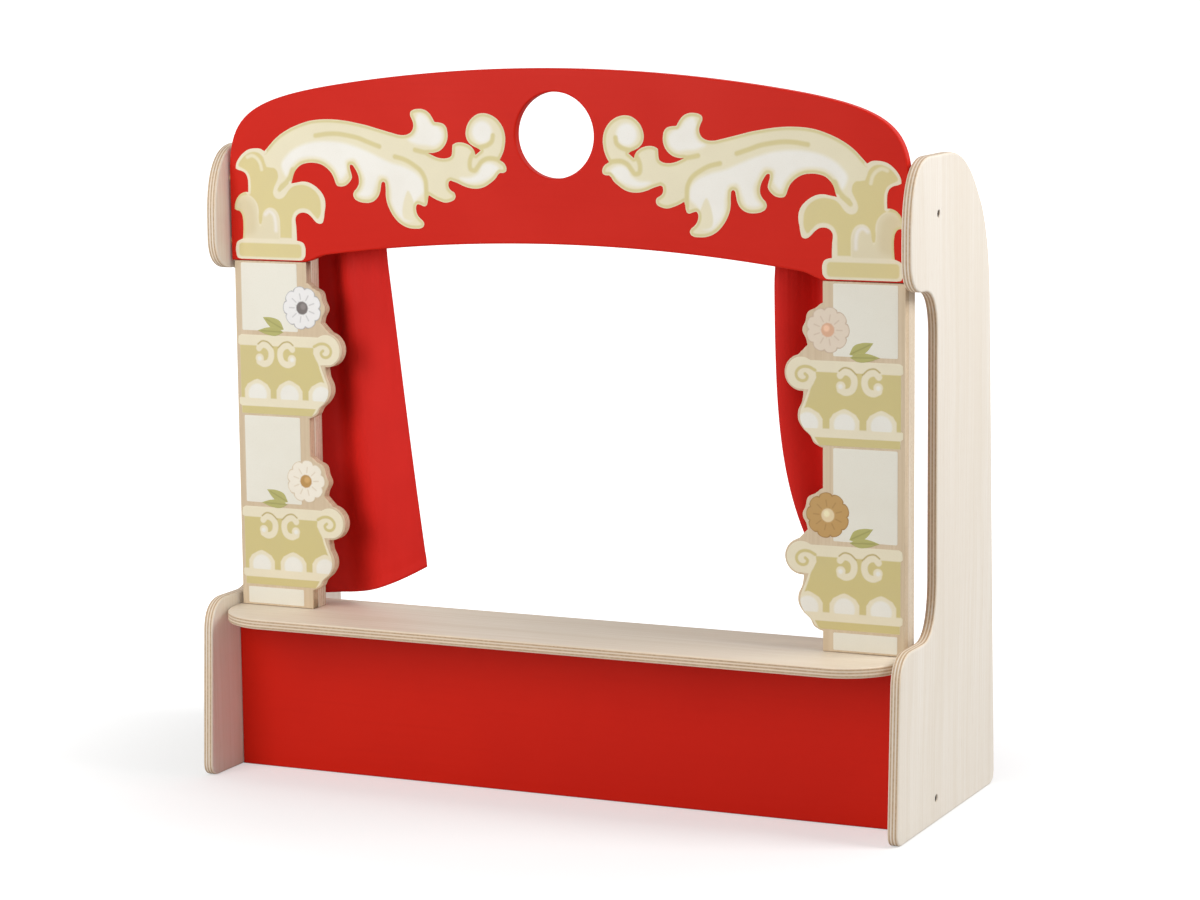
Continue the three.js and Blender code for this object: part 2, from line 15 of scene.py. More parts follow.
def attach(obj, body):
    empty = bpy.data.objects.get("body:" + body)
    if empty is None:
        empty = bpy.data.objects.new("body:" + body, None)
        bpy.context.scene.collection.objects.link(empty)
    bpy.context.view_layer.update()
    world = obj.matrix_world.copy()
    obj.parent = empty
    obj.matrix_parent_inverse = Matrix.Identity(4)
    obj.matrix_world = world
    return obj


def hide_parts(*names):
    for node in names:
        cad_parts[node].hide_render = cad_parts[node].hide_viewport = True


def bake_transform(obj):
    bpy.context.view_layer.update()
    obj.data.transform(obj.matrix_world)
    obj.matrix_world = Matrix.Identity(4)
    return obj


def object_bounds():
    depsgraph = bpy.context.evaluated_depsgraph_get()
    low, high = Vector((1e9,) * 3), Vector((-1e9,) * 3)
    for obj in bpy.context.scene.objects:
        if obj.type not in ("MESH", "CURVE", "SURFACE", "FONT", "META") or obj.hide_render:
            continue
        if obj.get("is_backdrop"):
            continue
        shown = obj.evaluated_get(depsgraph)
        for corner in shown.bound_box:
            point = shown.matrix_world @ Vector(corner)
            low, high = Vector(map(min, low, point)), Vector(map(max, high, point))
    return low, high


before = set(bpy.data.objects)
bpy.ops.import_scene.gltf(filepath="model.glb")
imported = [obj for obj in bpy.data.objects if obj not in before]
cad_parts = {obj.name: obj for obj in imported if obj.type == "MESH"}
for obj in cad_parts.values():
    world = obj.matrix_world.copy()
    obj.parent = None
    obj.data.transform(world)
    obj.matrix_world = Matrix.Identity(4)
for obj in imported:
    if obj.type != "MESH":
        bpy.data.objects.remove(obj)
cad_low, cad_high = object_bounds()

MM = 0.001

# Boards
STAND_WIDTH = 700
BOARD = 10
COUNTER_BOARD = 9.8
POST_BOARD = 15
GAP = 0.3
ARCH_GAP = 1.6
FLOOR_GAP = 0.4
SIDE_EASE = 2.0
BOARD_EASE = 1.7
COLUMN_EASE = 1.1
EASE_STEPS = 5
OUTLINE_STEP = 1.3

# Heights, from the floor up, and depths, from the front of the feet back
COUNTER_TOP = 157.3
ARCH_FOOT = 487.6
STAGE_SETBACK = 57.8
PANEL_SETBACK = 57.8
COUNTER_OVERHANG = 5
COUNTER_DEPTH = 119.5
COUNTER_CORNER = 57

# Side panel: each corner is a point, and how much of the edges before and after it its curve takes
SIDE_CORNERS = [
    ((0, 0), 13.5, 13.5),
    ((8.8, 168.7), 29, 29),
    ((101.5, 168.7), 34, 55),
    ((101.5, 479.6), 43, 35),
    ((32.6, 479.6), 33, 30),
    ((32.6, 596.5), 70, 49),
    ((174.1, 596.7), 45, 45),
    ((242.1, 520.3), 43, 70),
    ((265, 0), 13.5, 13.5),
]

# Columns
COLUMN_OUTER = 335.5
COLUMN_INNER = 258.4
RAILS = (417.4, 253)
BALCONY_HEIGHT = 77.5
BALCONY_REACH = 36
VOLUTE_RADIUS = 16.3
VOLUTE_ABOVE_RAIL = 4.6
FLOWER_RADIUS = 24.2
FLOWER_INSET = 5
FLOWER_RISE = 27
PETALS = 9
PETAL_DEPTH = 0.9
BELLY = [(0.51, -0.40), (0.55, -0.49), (0.64, -0.58), (0.65, -0.68),
         (0.52, -0.79), (0.33, -0.87), (0.23, -0.95), (0.08, -0.99)]
POST_TOP = 561.6

# Rods and screws
ROD_SETBACK = 101.7
ROD_HEIGHT = 544.8
RAIL_HEIGHT = 21.9
ROD_RADIUS = 6
ROD_CHAMFER = 0.8
ROD_SLICES = 40
ROD_SIDES = 48
BORE_SIDES = 32
TIE_BORE = [(0, 3.8), (1.4, 3.8), (3.4, 2.3)]
BOARD_BORE = [(0, 3.3), (0.6, 3.3), (2.4, 1.9)]

SIDES = (("left", -1), ("right", 1))
SIDE_FACE = STAND_WIDTH / 2
INNER_FACE = SIDE_FACE - BOARD
BOARD_HALF = INNER_FACE - GAP
ARCH_HALF = INNER_FACE - ARCH_GAP
POST_FRONT = STAGE_SETBACK + BOARD + GAP
SHIFT = cad_low.y / MM + COUNTER_OVERHANG


# Lines and outlines

def bezier(points, steps):
    """The points of a curve after its first, for three or four guide points."""
    made = []
    for step in range(1, steps + 1):
        row = [Vector(point) for point in points]
        while len(row) > 1:
            row = [a.lerp(b, step / steps) for a, b in zip(row, row[1:])]
        made.append(tuple(row[0]))
    return made


def arc(centre, radius, start, stop, steps):
    """The points of an arc, angles in radians."""
    turns = [start + (stop - start) * step / steps for step in range(steps + 1)]
    return [(centre[0] + radius * math.cos(t), centre[1] + radius * math.sin(t)) for t in turns]


def circle(centre, radius, steps):
    return arc(centre, radius, 0, 2 * math.pi, steps)[:-1]


def curve(points, step=OUTLINE_STEP, closed=True):
    """A smooth line through points; a point with a third value is a corner."""
    places = [Vector(point[:2]) for point in points]
    count = len(places)
    corner = [len(point) > 2 for point in points]
    if not closed:
        corner[0] = corner[-1] = True

    def along(index, chord):
        if corner[index % count]:
            return chord
        here = places[index % count]
        before = here - places[(index - 1) % count]
        after = places[(index + 1) % count] - here
        return ((after.normalized() * before.length + before.normalized() * after.length)
                / (before.length + after.length))

    made = []
    for index in range(count if closed else count - 1):
        start, stop = places[index], places[(index + 1) % count]
        span = (stop - start).length
        chord = (stop - start) / span
        leave, arrive = along(index, chord), along(index + 1, chord)
        pieces = max(1, round(span / step))
        for piece in range(pieces):
            t = piece / pieces
            made.append(tuple(
                start * (2 * t ** 3 - 3 * t ** 2 + 1) + leave * span * (t ** 3 - 2 * t ** 2 + t)
                + stop * (3 * t ** 2 - 2 * t ** 3) + arrive * span * (t ** 3 - t ** 2)))
    if not closed:
        made.append(tuple(places[-1]))
    return made


def cornered(corners, steps=14):
    """A closed outline of straight edges whose corners are curves."""
    made = []
    for index, (at, before, after) in enumerate(corners):
        point = Vector(at)
        last = Vector(corners[index - 1][0])
        following = Vector(corners[(index + 1) % len(corners)][0])
        entry = point + (last - point).normalized() * before
        leave = point + (following - point).normalized() * after
        made.append(tuple(entry))
        made.extend(bezier([entry, point, leave], steps))
    return made


def area_of(outline):
    """An outline's area, above 0 where it runs anticlockwise."""
    return sum(a[0] * b[1] - a[1] * b[0] for a, b in zip(outline, outline[1:] + outline[:1])) / 2


def tidy(outline, clockwise=False):
    """An outline without doubled points, running the way that is asked for."""
    kept = [point for i, point in enumerate(outline)
            if math.dist(point[:2], outline[i - 1][:2]) > 0.05]
    if (area_of(kept) < 0) != clockwise:
        kept.reverse()
    return kept


def shifted(outline, inset):
    """An outline moved towards its left-hand side, which is inwards for an anticlockwise one."""
    made = []
    for index, point in enumerate(outline):
        here = Vector(point)
        before = (here - Vector(outline[index - 1])).normalized()
        after = (Vector(outline[(index + 1) % len(outline)]) - here).normalized()
        left = before.orthogonal() + after.orthogonal()
        made.append(tuple(here + left * inset / max(0.5, 1 + before.dot(after))))
    return made


# Solids and pieces

class Solid:
    """The points and faces of one piece, gathered before its mesh is made."""

    def __init__(self):
        self.points = []
        self.faces = []

    def ring(self, points):
        start = len(self.points)
        self.points.extend(tuple(point) for point in points)
        return list(range(start, len(self.points)))

    def wall(self, low, high, closed=True):
        for index in range(len(low) if closed else len(low) - 1):
            following = (index + 1) % len(low)
            self.faces.append((low[index], low[following], high[following], high[index]))

    def skin(self, rings):
        for low, high in zip(rings, rings[1:]):
            self.wall(low, high)

    def cap(self, rings):
        numbers = [number for ring in rings for number in ring]
        loops = [[Vector(self.points[number]) for number in ring] for ring in rings]
        for triangle in tessellate_polygon(loops):
            self.faces.append(tuple(numbers[corner] for corner in triangle))


def piece(name, solid, finish, slot, replaces=(), cloth=False):
    """A mesh object from a solid, standing for CAD nodes; all but the cloth rides on the stand.

    Weighted normals shade a board's flat faces flat and its rounded edges smooth."""
    mesh = bpy.data.meshes.new(name)
    mesh.from_pydata([[c * MM for c in point] for point in solid.points], [], solid.faces)
    work = bmesh.new()
    work.from_mesh(mesh)
    bmesh.ops.recalc_face_normals(work, faces=work.faces)
    work.to_mesh(mesh)
    work.free()
    mesh.shade_smooth()
    made = bpy.data.objects.new(name, mesh)
    bpy.context.scene.collection.objects.link(made)
    mesh.materials.append(finish)
    if not cloth:
        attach(made, "stand")
        flats = made.modifiers.new("flats", "WEIGHTED_NORMAL")
        flats.weight = 80
        flats.keep_sharp = True
    if replaces:
        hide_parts(*replaces)
    return made


def board(outline, thickness, ease, place, openings=(), bores=()):
    """A flat board with rounded edges; place puts a point of its outline at a depth."""
    turns = [math.pi / 2 * step / EASE_STEPS for step in range(EASE_STEPS + 1)]
    entry = [(ease * (1 - math.cos(t)), ease * (1 - math.sin(t))) for t in turns]
    profile = entry + [(thickness - depth, inset) for depth, inset in reversed(entry)]
    solid = Solid()
    fronts, backs = [], []
    loops = [tidy(outline)] + [tidy(opening, clockwise=True) for opening in openings]
    for loop in loops:
        rings = [solid.ring(place(u, v, depth) for u, v in shifted(loop, inset))
                 for depth, inset in profile]
        solid.skin(rings)
        fronts.append(rings[0])
        backs.append(rings[-1])
    for centre, steps in bores:
        rings = [solid.ring(place(u, v, depth) for u, v in circle(centre, radius, BORE_SIDES))
                 for depth, radius in steps + [(thickness, steps[-1][1])]]
        solid.skin(rings)
        fronts.append(rings[0])
        backs.append(rings[-1])
    solid.cap(fronts)
    solid.cap(backs)
    return solid


def rod(half, height):
    """A round rod across the stand, with chamfered ends."""
    solid = Solid()
    ends = ROD_RADIUS - ROD_CHAMFER
    profile = [(-half, ends), (-half + ROD_CHAMFER, ROD_RADIUS)]
    profile += [(-half + 2 * half * step / ROD_SLICES, ROD_RADIUS)
                for step in range(1, ROD_SLICES)]
    profile += [(half - ROD_CHAMFER, ROD_RADIUS), (half, ends)]
    centre = (ROD_SETBACK + SHIFT, height)
    rings = [solid.ring((x, y, z) for y, z in circle(centre, radius, ROD_SIDES))
             for x, radius in profile]
    solid.skin(rings)
    solid.cap(rings[:1])
    solid.cap(rings[-1:])
    return solid


# Materials

def tint(colour):
    """A colour written as three numbers to 255, as light."""
    shares = [c / 255 for c in colour]
    return tuple(c / 12.92 if c <= 0.04045 else ((c + 0.055) / 1.055) ** 2.4 for c in shares)


def paint(colour):
    return (*tint(colour), 1.0)


class Wire:
    """A number, colour or direction in a finish; sums on it add their Math nodes."""

    def __init__(self, finish, socket):
        self.finish = finish
        self.socket = socket

    def sum(self, operation, *others):
        return self.finish.node("Math", {"operation": operation}, [self, *others])

    def __add__(self, other):
        return self.sum("ADD", other)

    def __sub__(self, other):
        return self.sum("SUBTRACT", other)

    def __rsub__(self, other):
        return self * -1.0 + other

    def __mul__(self, other):
        return self.sum("MULTIPLY", other)

    def __abs__(self):
        return self.sum("ABSOLUTE")

    __radd__ = __add__
    __rmul__ = __mul__


class Finish:
    """A material's or the world's shader under way."""

    def __init__(self, owner, output="OutputMaterial"):
        self.owner = bpy.data.materials.new(owner) if isinstance(owner, str) else owner
        self.owner.use_nodes = True
        self.tree = self.owner.node_tree
        self.tree.nodes.clear()
        self.surface = self.tree.nodes.new("ShaderNode" + output).inputs["Surface"]

    def node(self, kind, settings=(), inputs=(), out=0):
        made = self.tree.nodes.new("ShaderNode" + kind)
        for key, value in dict(settings).items():
            setattr(made, key, value)
        for key, value in inputs.items() if isinstance(inputs, dict) else enumerate(inputs):
            if isinstance(value, Wire):
                self.tree.links.new(value.socket, made.inputs[key])
            else:
                made.inputs[key].default_value = value
        return Wire(self, made.outputs[out])

    def place(self):
        """Where a point is on the object, in metres."""
        spot = self.node("TexCoord", out="Object")
        return [self.node("SeparateXYZ", inputs=[spot], out=axis) for axis in range(3)]

    def noise(self, spot, scale, detail=2.0, roughness=0.5):
        """Noise at a spot, given as its three coordinates."""
        return self.node("TexNoise", inputs={
            "Vector": self.node("CombineXYZ", inputs=spot), "Scale": scale, "Detail": detail,
            "Roughness": roughness})

    def mix(self, share, low, high):
        """Two colours, written as numbers to 255 or made by nodes, mixed by a share."""
        low, high = (c if isinstance(c, Wire) else paint(c) for c in (low, high))
        return self.node("Mix", {"data_type": "RGBA"}, {0: share, 6: low, 7: high}, out=2)

    def between(self, value, low, high, start=0.0, stop=1.0):
        """A value's place between two others, from start to stop, turned smoothly."""
        return self.node("MapRange", {"interpolation_type": "SMOOTHSTEP"},
                         {0: value, 1: low, 2: high, 3: start, 4: stop})

    def bump(self, height, distance, strength):
        return self.node("Bump", inputs={
            "Height": height, "Distance": distance, "Strength": strength})

    def shade(self, **inputs):
        words = {key.replace("_", " "): value for key, value in inputs.items()}
        shader = self.node("BsdfPrincipled", inputs=words)
        self.tree.links.new(shader.socket, self.surface)
        return self.owner


def plywood(name, along, through, edge, thickness, plies, face, streak, layers):
    """Birch plywood: grain along one axis, plies through another, counted from a face at edge."""
    finish = Finish(name)
    spot = finish.place()
    across = 3 - along - through
    if through == 0:
        depth = (abs(spot[through]) - edge) * (-1.0 / thickness)
    else:
        depth = (spot[through] - edge) * (1.0 / thickness)
    warp = finish.noise(spot, 4.0)

    def lines(along_scale, across_scale, through_scale, bend=0.0, detail=2.0):
        stretched = [None, None, None]
        stretched[along] = spot[along] * along_scale
        stretched[across] = spot[across] * across_scale + warp * bend
        stretched[through] = spot[through] * through_scale
        return finish.noise(stretched, 1.0, detail)

    fine = lines(4.0, 420.0, 40.0, 5.0, 3.0)
    middling = lines(2.2, 90.0, 9.0, 4.0)
    broad = lines(1.6, 15.0, 2.0, 2.2)
    pores = lines(60.0, 1400.0, 1400.0)
    grain = finish.mix(finish.between(fine, 0.36, 0.66, 0.0, 0.5), face, streak)
    grain = finish.mix(finish.between(middling, 0.42, 0.7, 0.0, 0.5), grain, streak)
    grain = finish.mix(finish.between(broad, 0.42, 0.66, 0.0, 0.45), grain, streak)
    grain = finish.mix(finish.between(pores, 0.55, 0.75, 0.0, 0.2), grain, layers[1])
    layer = depth * float(plies)
    step = layer.sum("FLOOR")
    cross = step.sum("PINGPONG", 1.0)
    seam = layer - step
    line = finish.between(seam.sum("PINGPONG", 0.5), 0.0, 0.22, 1.0, 0.0)
    fibre = finish.noise(spot, 420.0, 3.0)
    long_grain = finish.mix(finish.between(fine, 0.3, 0.7), layers[0], streak)
    end_grain = finish.mix(finish.between(fibre, 0.3, 0.7), layers[1], layers[2])
    plies_seen = finish.mix(cross, long_grain, end_grain)
    plies_seen = finish.mix(line * 0.3, plies_seen, layers[2])
    inside = finish.between(depth.sum("PINGPONG", 0.5), 0.02, 0.06)
    height = fine * 0.6 + pores * 0.4 - line * inside * 0.4
    return finish.shade(
        Base_Color=finish.mix(inside, grain, plies_seen), Specular_IOR_Level=0.3,
        Roughness=finish.between(fine, 0.2, 0.8, 0.45, 0.56),
        Normal=finish.bump(height, 0.00018, 0.5))


def lacquer(name, colour, deep):
    """Red lacquer on plywood: even, with a little of the brush and the grain under it."""
    finish = Finish(name)
    x, y, z = finish.place()
    cloud = finish.noise([x, y, z], 6.0, 3.0)
    grain = finish.noise([x * 10.0, y * 10.0, z * 220.0], 1.0, 3.0, 0.6)
    skin = finish.noise([x, y, z], 650.0, 1.0)
    shade = finish.mix(finish.between(cloud, 0.3, 0.7, 0.0, 0.5), colour, deep)
    shade = finish.mix(finish.between(grain, 0.45, 0.8, 0.0, 0.25), shade, deep)
    return finish.shade(
        Base_Color=shade, Specular_IOR_Level=0.13,
        Roughness=finish.between(cloud, 0.2, 0.8, 0.4, 0.5),
        Normal=finish.bump(grain * 0.6 + skin * 0.4, 0.0001, 0.4))


def silkscreen(name):
    """Printed paint, its colours kept on the points of the coat."""
    finish = Finish(name)
    spot = finish.place()
    ink = finish.node("VertexColor", {"layer_name": "ink"})
    speckle = finish.noise(spot, 900.0)
    cloud = finish.noise(spot, 22.0, 3.0)
    shade = finish.mix(finish.between(cloud, 0.35, 0.75, 0.0, 0.10), ink, (205, 190, 160))
    shade = finish.mix(finish.between(speckle, 0.5, 0.8, 0.0, 0.08), shade, (190, 175, 140))
    return finish.shade(
        Base_Color=shade, Specular_IOR_Level=0.25,
        Roughness=finish.between(speckle, 0.2, 0.8, 0.42, 0.54),
        Normal=finish.bump(speckle, 0.00008, 0.4))


def satin(name, bright, deep):
    """Red curtain cloth: a fine plain weave with a soft sheen."""
    finish = Finish(name)
    x, y, z = finish.place()
    threads = 4200.0
    weave = (x * threads).sum("SINE") * (z * threads).sum("SINE")
    slub = finish.noise([x * 90.0, y * 90.0, z * 8.0], 1.0, 3.0)
    cloud = finish.noise([x, y, z], 14.0)
    shade = finish.mix(finish.between(cloud, 0.3, 0.75, 0.0, 0.7), bright, deep)
    shade = finish.mix(finish.between(slub, 0.4, 0.8, 0.0, 0.3), shade, deep)
    return finish.shade(
        Base_Color=shade, Specular_IOR_Level=0.15,
        Roughness=finish.between(slub, 0.2, 0.8, 0.55, 0.66),
        Sheen_Weight=0.08, Sheen_Roughness=0.4, Sheen_Tint=paint((255, 120, 105)),
        Normal=finish.bump(weave * 0.5 + slub, 0.00012, 0.5))


def turned_beech(name, face, streak):
    """Beech dowel: straight grain along its length with short dark flecks."""
    finish = Finish(name)
    x, y, z = finish.place()
    fine = finish.noise([x * 7.0, y * 420.0, z * 420.0], 1.0, 4.0, 0.6)
    fleck = finish.noise([x * 240.0, y * 1900.0, z * 1900.0], 1.0, 1.0)
    shade = finish.mix(finish.between(fine, 0.35, 0.7), face, streak)
    shade = finish.mix(finish.between(fleck, 0.62, 0.75, 0.0, 0.5), shade, (150, 112, 74))
    return finish.shade(
        Base_Color=shade,
        Roughness=finish.between(fine, 0.2, 0.8, 0.48, 0.6),
        Normal=finish.bump(fine, 0.0002, 0.5))


def black_steel(name):
    """Blackened screw steel, worn a little on its edges."""
    finish = Finish(name)
    wear = finish.noise(finish.place(), 900.0, 3.0)
    return finish.shade(
        Base_Color=finish.mix(finish.between(wear, 0.45, 0.75), (48, 45, 43), (112, 108, 104)),
        Metallic=0.9,
        Roughness=finish.between(wear, 0.3, 0.8, 0.34, 0.5),
        Normal=finish.bump(wear, 0.00005, 0.4))


# Each plywood has a face, a streak in it, and the three colours of the plies on its edges
BIRCH = [(245, 237, 226), (235, 224, 208),
         [(236, 217, 192), (206, 178, 147), (189, 159, 127)]]
COUNTER_BIRCH = [(237, 224, 206), (226, 210, 188), BIRCH[2]]
POST_BIRCH = [(238, 227, 211), (228, 213, 193),
              [(245, 232, 214), (230, 212, 187), (213, 193, 165)]]
COLUMN_BIRCH = [(221, 201, 172), (207, 184, 152),
                [(240, 221, 196), (215, 192, 162), (198, 173, 142)]]
birch_side = plywood("birch_side_panel", 2, 0, SIDE_FACE * MM, BOARD * MM, 7, *BIRCH)
birch_counter = plywood("birch_counter", 0, 2, (COUNTER_TOP - COUNTER_BOARD) * MM,
                        COUNTER_BOARD * MM, 7, *COUNTER_BIRCH)
birch_post = plywood("birch_post", 2, 1, (POST_FRONT + SHIFT) * MM, POST_BOARD * MM, 9,
                     *POST_BIRCH)
column_ply = plywood("column_plywood", 2, 1, (STAGE_SETBACK + SHIFT) * MM, BOARD * MM, 7,
                     *COLUMN_BIRCH)
red_lacquer = lacquer("red_lacquer", (212, 32, 13), (202, 26, 10))
print_ink = silkscreen("silkscreen_ink")
curtain_satin = satin("curtain_satin", (219, 37, 29), (204, 32, 25))
beech = turned_beech("turned_beech", (222, 192, 150), (200, 164, 118))
screw_steel = black_steel("blackened_steel")


# Boards

def across_stage(setback):
    """Puts a board's outline upright across the stage, its face at a depth."""
    return lambda u, v, depth: (u, setback + depth + SHIFT, v)


for name, side in SIDES:
    piece(f"{name}_side_board",
          board(cornered(SIDE_CORNERS), BOARD, SIDE_EASE,
                lambda u, v, depth: (side * (SIDE_FACE - depth), u + SHIFT, v),
                bores=[((ROD_SETBACK, height), TIE_BORE) for height in (ROD_HEIGHT, RAIL_HEIGHT)]),
          birch_side, "birch_ply", replaces=[f"{name}_side_panel"])


def counter_outline():
    front = -COUNTER_OVERHANG
    back = COUNTER_DEPTH - COUNTER_OVERHANG
    inner = BOARD_HALF - COUNTER_CORNER
    turn = front + COUNTER_CORNER
    corner = COUNTER_CORNER
    return ([(-BOARD_HALF, back)] + arc((-inner, turn), corner, math.pi, 1.5 * math.pi, 24)
            + arc((inner, turn), corner, 1.5 * math.pi, 2 * math.pi, 24) + [(BOARD_HALF, back)])


piece("counter_board",
      board(counter_outline(), COUNTER_BOARD, SIDE_EASE,
            lambda u, v, depth: (u, v + SHIFT, COUNTER_TOP - depth)),
      birch_counter, "birch_ply", replaces=["counter"])

panel_top = COUNTER_TOP - COUNTER_BOARD - GAP
panel = [(-BOARD_HALF, FLOOR_GAP), (BOARD_HALF, FLOOR_GAP), (BOARD_HALF, panel_top),
         (-BOARD_HALF, panel_top)]
piece("red_front_board", board(panel, BOARD, BOARD_EASE, across_stage(PANEL_SETBACK)),
      red_lacquer, "red_lacquer", replaces=["front_panel"])


def arch_outline():
    """Flat feet over the columns, a shallow curve over the stage and a crowned top."""
    spring, step_run, step_rise, rise = 261.8, 24, 7.3, 24
    crown, corner_run, corner_foot, sag, handle_share = 182.5, 128.5, 82.7, 14.7, 0.82
    step_x, step_z = spring - step_run, ARCH_FOOT + step_rise
    handle = step_run * 0.35
    fall = handle * 2 * (rise - step_rise) / step_x
    top = ARCH_FOOT + crown
    corner_x, corner_z, corner_top = ARCH_HALF - corner_run, ARCH_FOOT + corner_foot, top - sag
    slope = 2 * sag / corner_x
    handle_x = corner_run * handle_share
    handle_z = (corner_top - slope * corner_run - corner_z) * handle_share
    half = [(spring, ARCH_FOOT), (ARCH_HALF, ARCH_FOOT), (ARCH_HALF, corner_z)]
    half += bezier([(ARCH_HALF, corner_z), (ARCH_HALF, corner_z + handle_z),
                    (corner_x + handle_x, corner_top - slope * handle_x),
                    (corner_x, corner_top)], 24)
    crown_line = bezier([(corner_x, corner_top), (0, top + sag), (-corner_x, corner_top)], 80)
    left = [(-x, z) for x, z in reversed(half)]
    left += bezier([(-spring, ARCH_FOOT), (-spring + handle, ARCH_FOOT),
                    (-step_x - handle, step_z - fall), (-step_x, step_z)], 14)
    under = bezier([(-step_x, step_z), (0, 2 * (ARCH_FOOT + rise) - step_z), (step_x, step_z)], 80)
    right = bezier([(step_x, step_z), (step_x + handle, step_z - fall),
                    (spring - handle, ARCH_FOOT), (spring, ARCH_FOOT)], 14)
    return half + crown_line + left + under + right


HOLE = (0, ARCH_FOOT + 122.4)
HOLE_RADIUS = 39
piece("red_arch_board",
      board(arch_outline(), BOARD, BOARD_EASE, across_stage(STAGE_SETBACK),
            openings=[circle(HOLE, HOLE_RADIUS, 120)]),
      red_lacquer, "red_lacquer", replaces=["arch_board"])


def balcony_edge(rail):
    """A balcony's sawn edge, from the flower above its rail down to its underside."""
    start = math.acos(FLOWER_INSET / FLOWER_RADIUS)
    made = []
    for step in range(71):
        angle = start + (-0.62 - start) * step / 70
        radius = FLOWER_RADIUS + PETAL_DEPTH * (math.cos(PETALS * (angle - start)) - 1)
        made.append((radius * math.cos(angle) - FLOWER_INSET,
                     rail + FLOWER_RISE + radius * math.sin(angle)))
    centre = (BALCONY_REACH - VOLUTE_RADIUS, rail + VOLUTE_ABOVE_RAIL - VOLUTE_RADIUS)
    made += arc(centre, VOLUTE_RADIUS, 1.35, -1.65, 44)
    belly = [(run * BALCONY_REACH, rail + rise * BALCONY_HEIGHT) for run, rise in BELLY]
    return made + curve(belly, closed=False) + [(0, rail - BALCONY_HEIGHT)]


def column_outline():
    """A column's front board, given by the distance inwards from its straight inner edge."""
    low, high, width = COUNTER_TOP + GAP, ARCH_FOOT - GAP, COLUMN_OUTER - COLUMN_INNER
    inwards = [(-width, low), (-width, high), (0, high)]
    for rail in RAILS:
        inwards += balcony_edge(rail)
    return [(COLUMN_INNER - run, z) for run, z in inwards + [(0, low)]]


post_middle = (COLUMN_INNER + COLUMN_OUTER) / 2
POST_SCREWS = [205.3, 439.6, 505.6, 543.6]
for name, side in SIDES:
    outline = [(side * u, v) for u, v in column_outline()]
    piece(f"{name}_column_front",
          board(outline, BOARD, COLUMN_EASE, across_stage(STAGE_SETBACK)),
          column_ply, "column_wood", replaces=[f"{name}_column_board"])
    low, high = COUNTER_TOP + GAP, POST_TOP
    outline = [(side * u, v) for u, v in [(COLUMN_INNER, low), (COLUMN_OUTER, low),
                                          (COLUMN_OUTER, high), (COLUMN_INNER, high)]]
    post_back = POST_FRONT + POST_BOARD
    piece(f"{name}_post",
          board(outline, POST_BOARD, BOARD_EASE,
                lambda u, v, depth: (u, post_back - depth + SHIFT, v),
                bores=[((side * post_middle, height), BOARD_BORE) for height in POST_SCREWS]),
          birch_post, "birch_ply", replaces=[f"{name}_column_post"])

for name, height, node in (("curtain_pole", ROD_HEIGHT, "curtain_rod"),
                           ("floor_rail", RAIL_HEIGHT, "bottom_rail")):
    piece(name, rod(BOARD_HALF, height), beech, "beech_dowel", replaces=[node])

for name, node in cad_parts.items():
    if "screw" in name or "pin" in name:
        node.data.materials.clear()
        node.data.materials.append(screw_steel if "screw" in name else beech)


# Printed ornament

def eased(share):
    share = np.clip(share, 0, 1)
    return share * share * (3 - 2 * share)


def gap_to(points, line, closed):
    """How far points are from a line."""
    starts = np.array(line, float)
    stops = np.roll(starts, -1, axis=0) if closed else starts[1:]
    nearest = np.full(len(points), 1e9)
    for start, stop in zip(starts, stops):
        run = stop - start
        share = np.clip((points - start) @ run / max(run @ run, 1e-9), 0, 1)
        off = points - start - share[:, None] * run
        nearest = np.minimum(nearest, np.hypot(off[:, 0], off[:, 1]))
    return nearest


def within(points, outline):
    """Which points an outline surrounds."""
    inside = np.zeros(len(points), bool)
    x, y = points[:, 0], points[:, 1]
    for (ax, ay), (bx, by) in zip(outline, outline[1:] + outline[:1]):
        if ay != by:
            crossing = (ay > y) != (by > y)
            inside ^= crossing & (x < ax + (bx - ax) * (y - ay) / (by - ay))
    return inside


class Print:
    """A coat of printed paint: an outline filled with points that each hold a colour."""

    def __init__(self, outline, ground, spacing=0.8):
        rim = tidy(outline)
        corners = np.array(rim)
        low, high = corners.min(0), corners.max(0)
        rows = np.arange(low[1], high[1], spacing * 0.87)
        grid = np.array([(x + spacing / 2 * (index % 2), y) for index, y in enumerate(rows)
                         for x in np.arange(low[0], high[0], spacing)])
        grid = grid[within(grid, rim)]
        grid = grid[gap_to(grid, rim, True) > spacing * 0.55]
        count = len(rim)
        found = delaunay_2d_cdt([Vector(point) for point in [*rim, *grid]],
                                [(i, (i + 1) % count) for i in range(count)], [], 1, 1e-4)
        self.flat = np.array([tuple(point) for point in found[0]])
        self.faces = [tuple(face) for face in found[2]]
        self.edge = gap_to(self.flat, rim, True)
        self.colour = np.tile(np.array(tint(ground)), (len(self.flat), 1))

    def lay(self, depth, colour, soft, cover=1.0):
        """Colour where a depth is above 0, fading over its edge."""
        share = cover * eased(depth / soft + 0.5)
        self.colour += (np.array(tint(colour)) - self.colour) * share[:, None]

    def band(self, width, colour, soft, cover=1.0):
        """Colour that follows the rim."""
        self.lay(width - self.edge, colour, soft, cover)

    def wash(self, outline, colour, soft=1.4, cover=1.0):
        """Colour inside an outline, fading over its edge."""
        gap = gap_to(self.flat, outline, True)
        self.lay(np.where(within(self.flat, outline), gap, -gap), colour, soft, cover)

    def stroke(self, points, width, colour, soft, cover=1.0):
        """A smooth line of colour of one width with round ends."""
        line = curve(points, STROKE_STEP, False)
        self.lay(width / 2 - gap_to(self.flat, line, False), colour, soft, cover)

    def disc(self, centre, radius, colour, soft=1.4, cover=1.0):
        away = np.hypot(self.flat[:, 0] - centre[0], self.flat[:, 1] - centre[1])
        self.lay(radius - away, colour, soft, cover)


COAT = 0.16
COAT_FOOT = 0.05
STROKE_STEP = 1.0


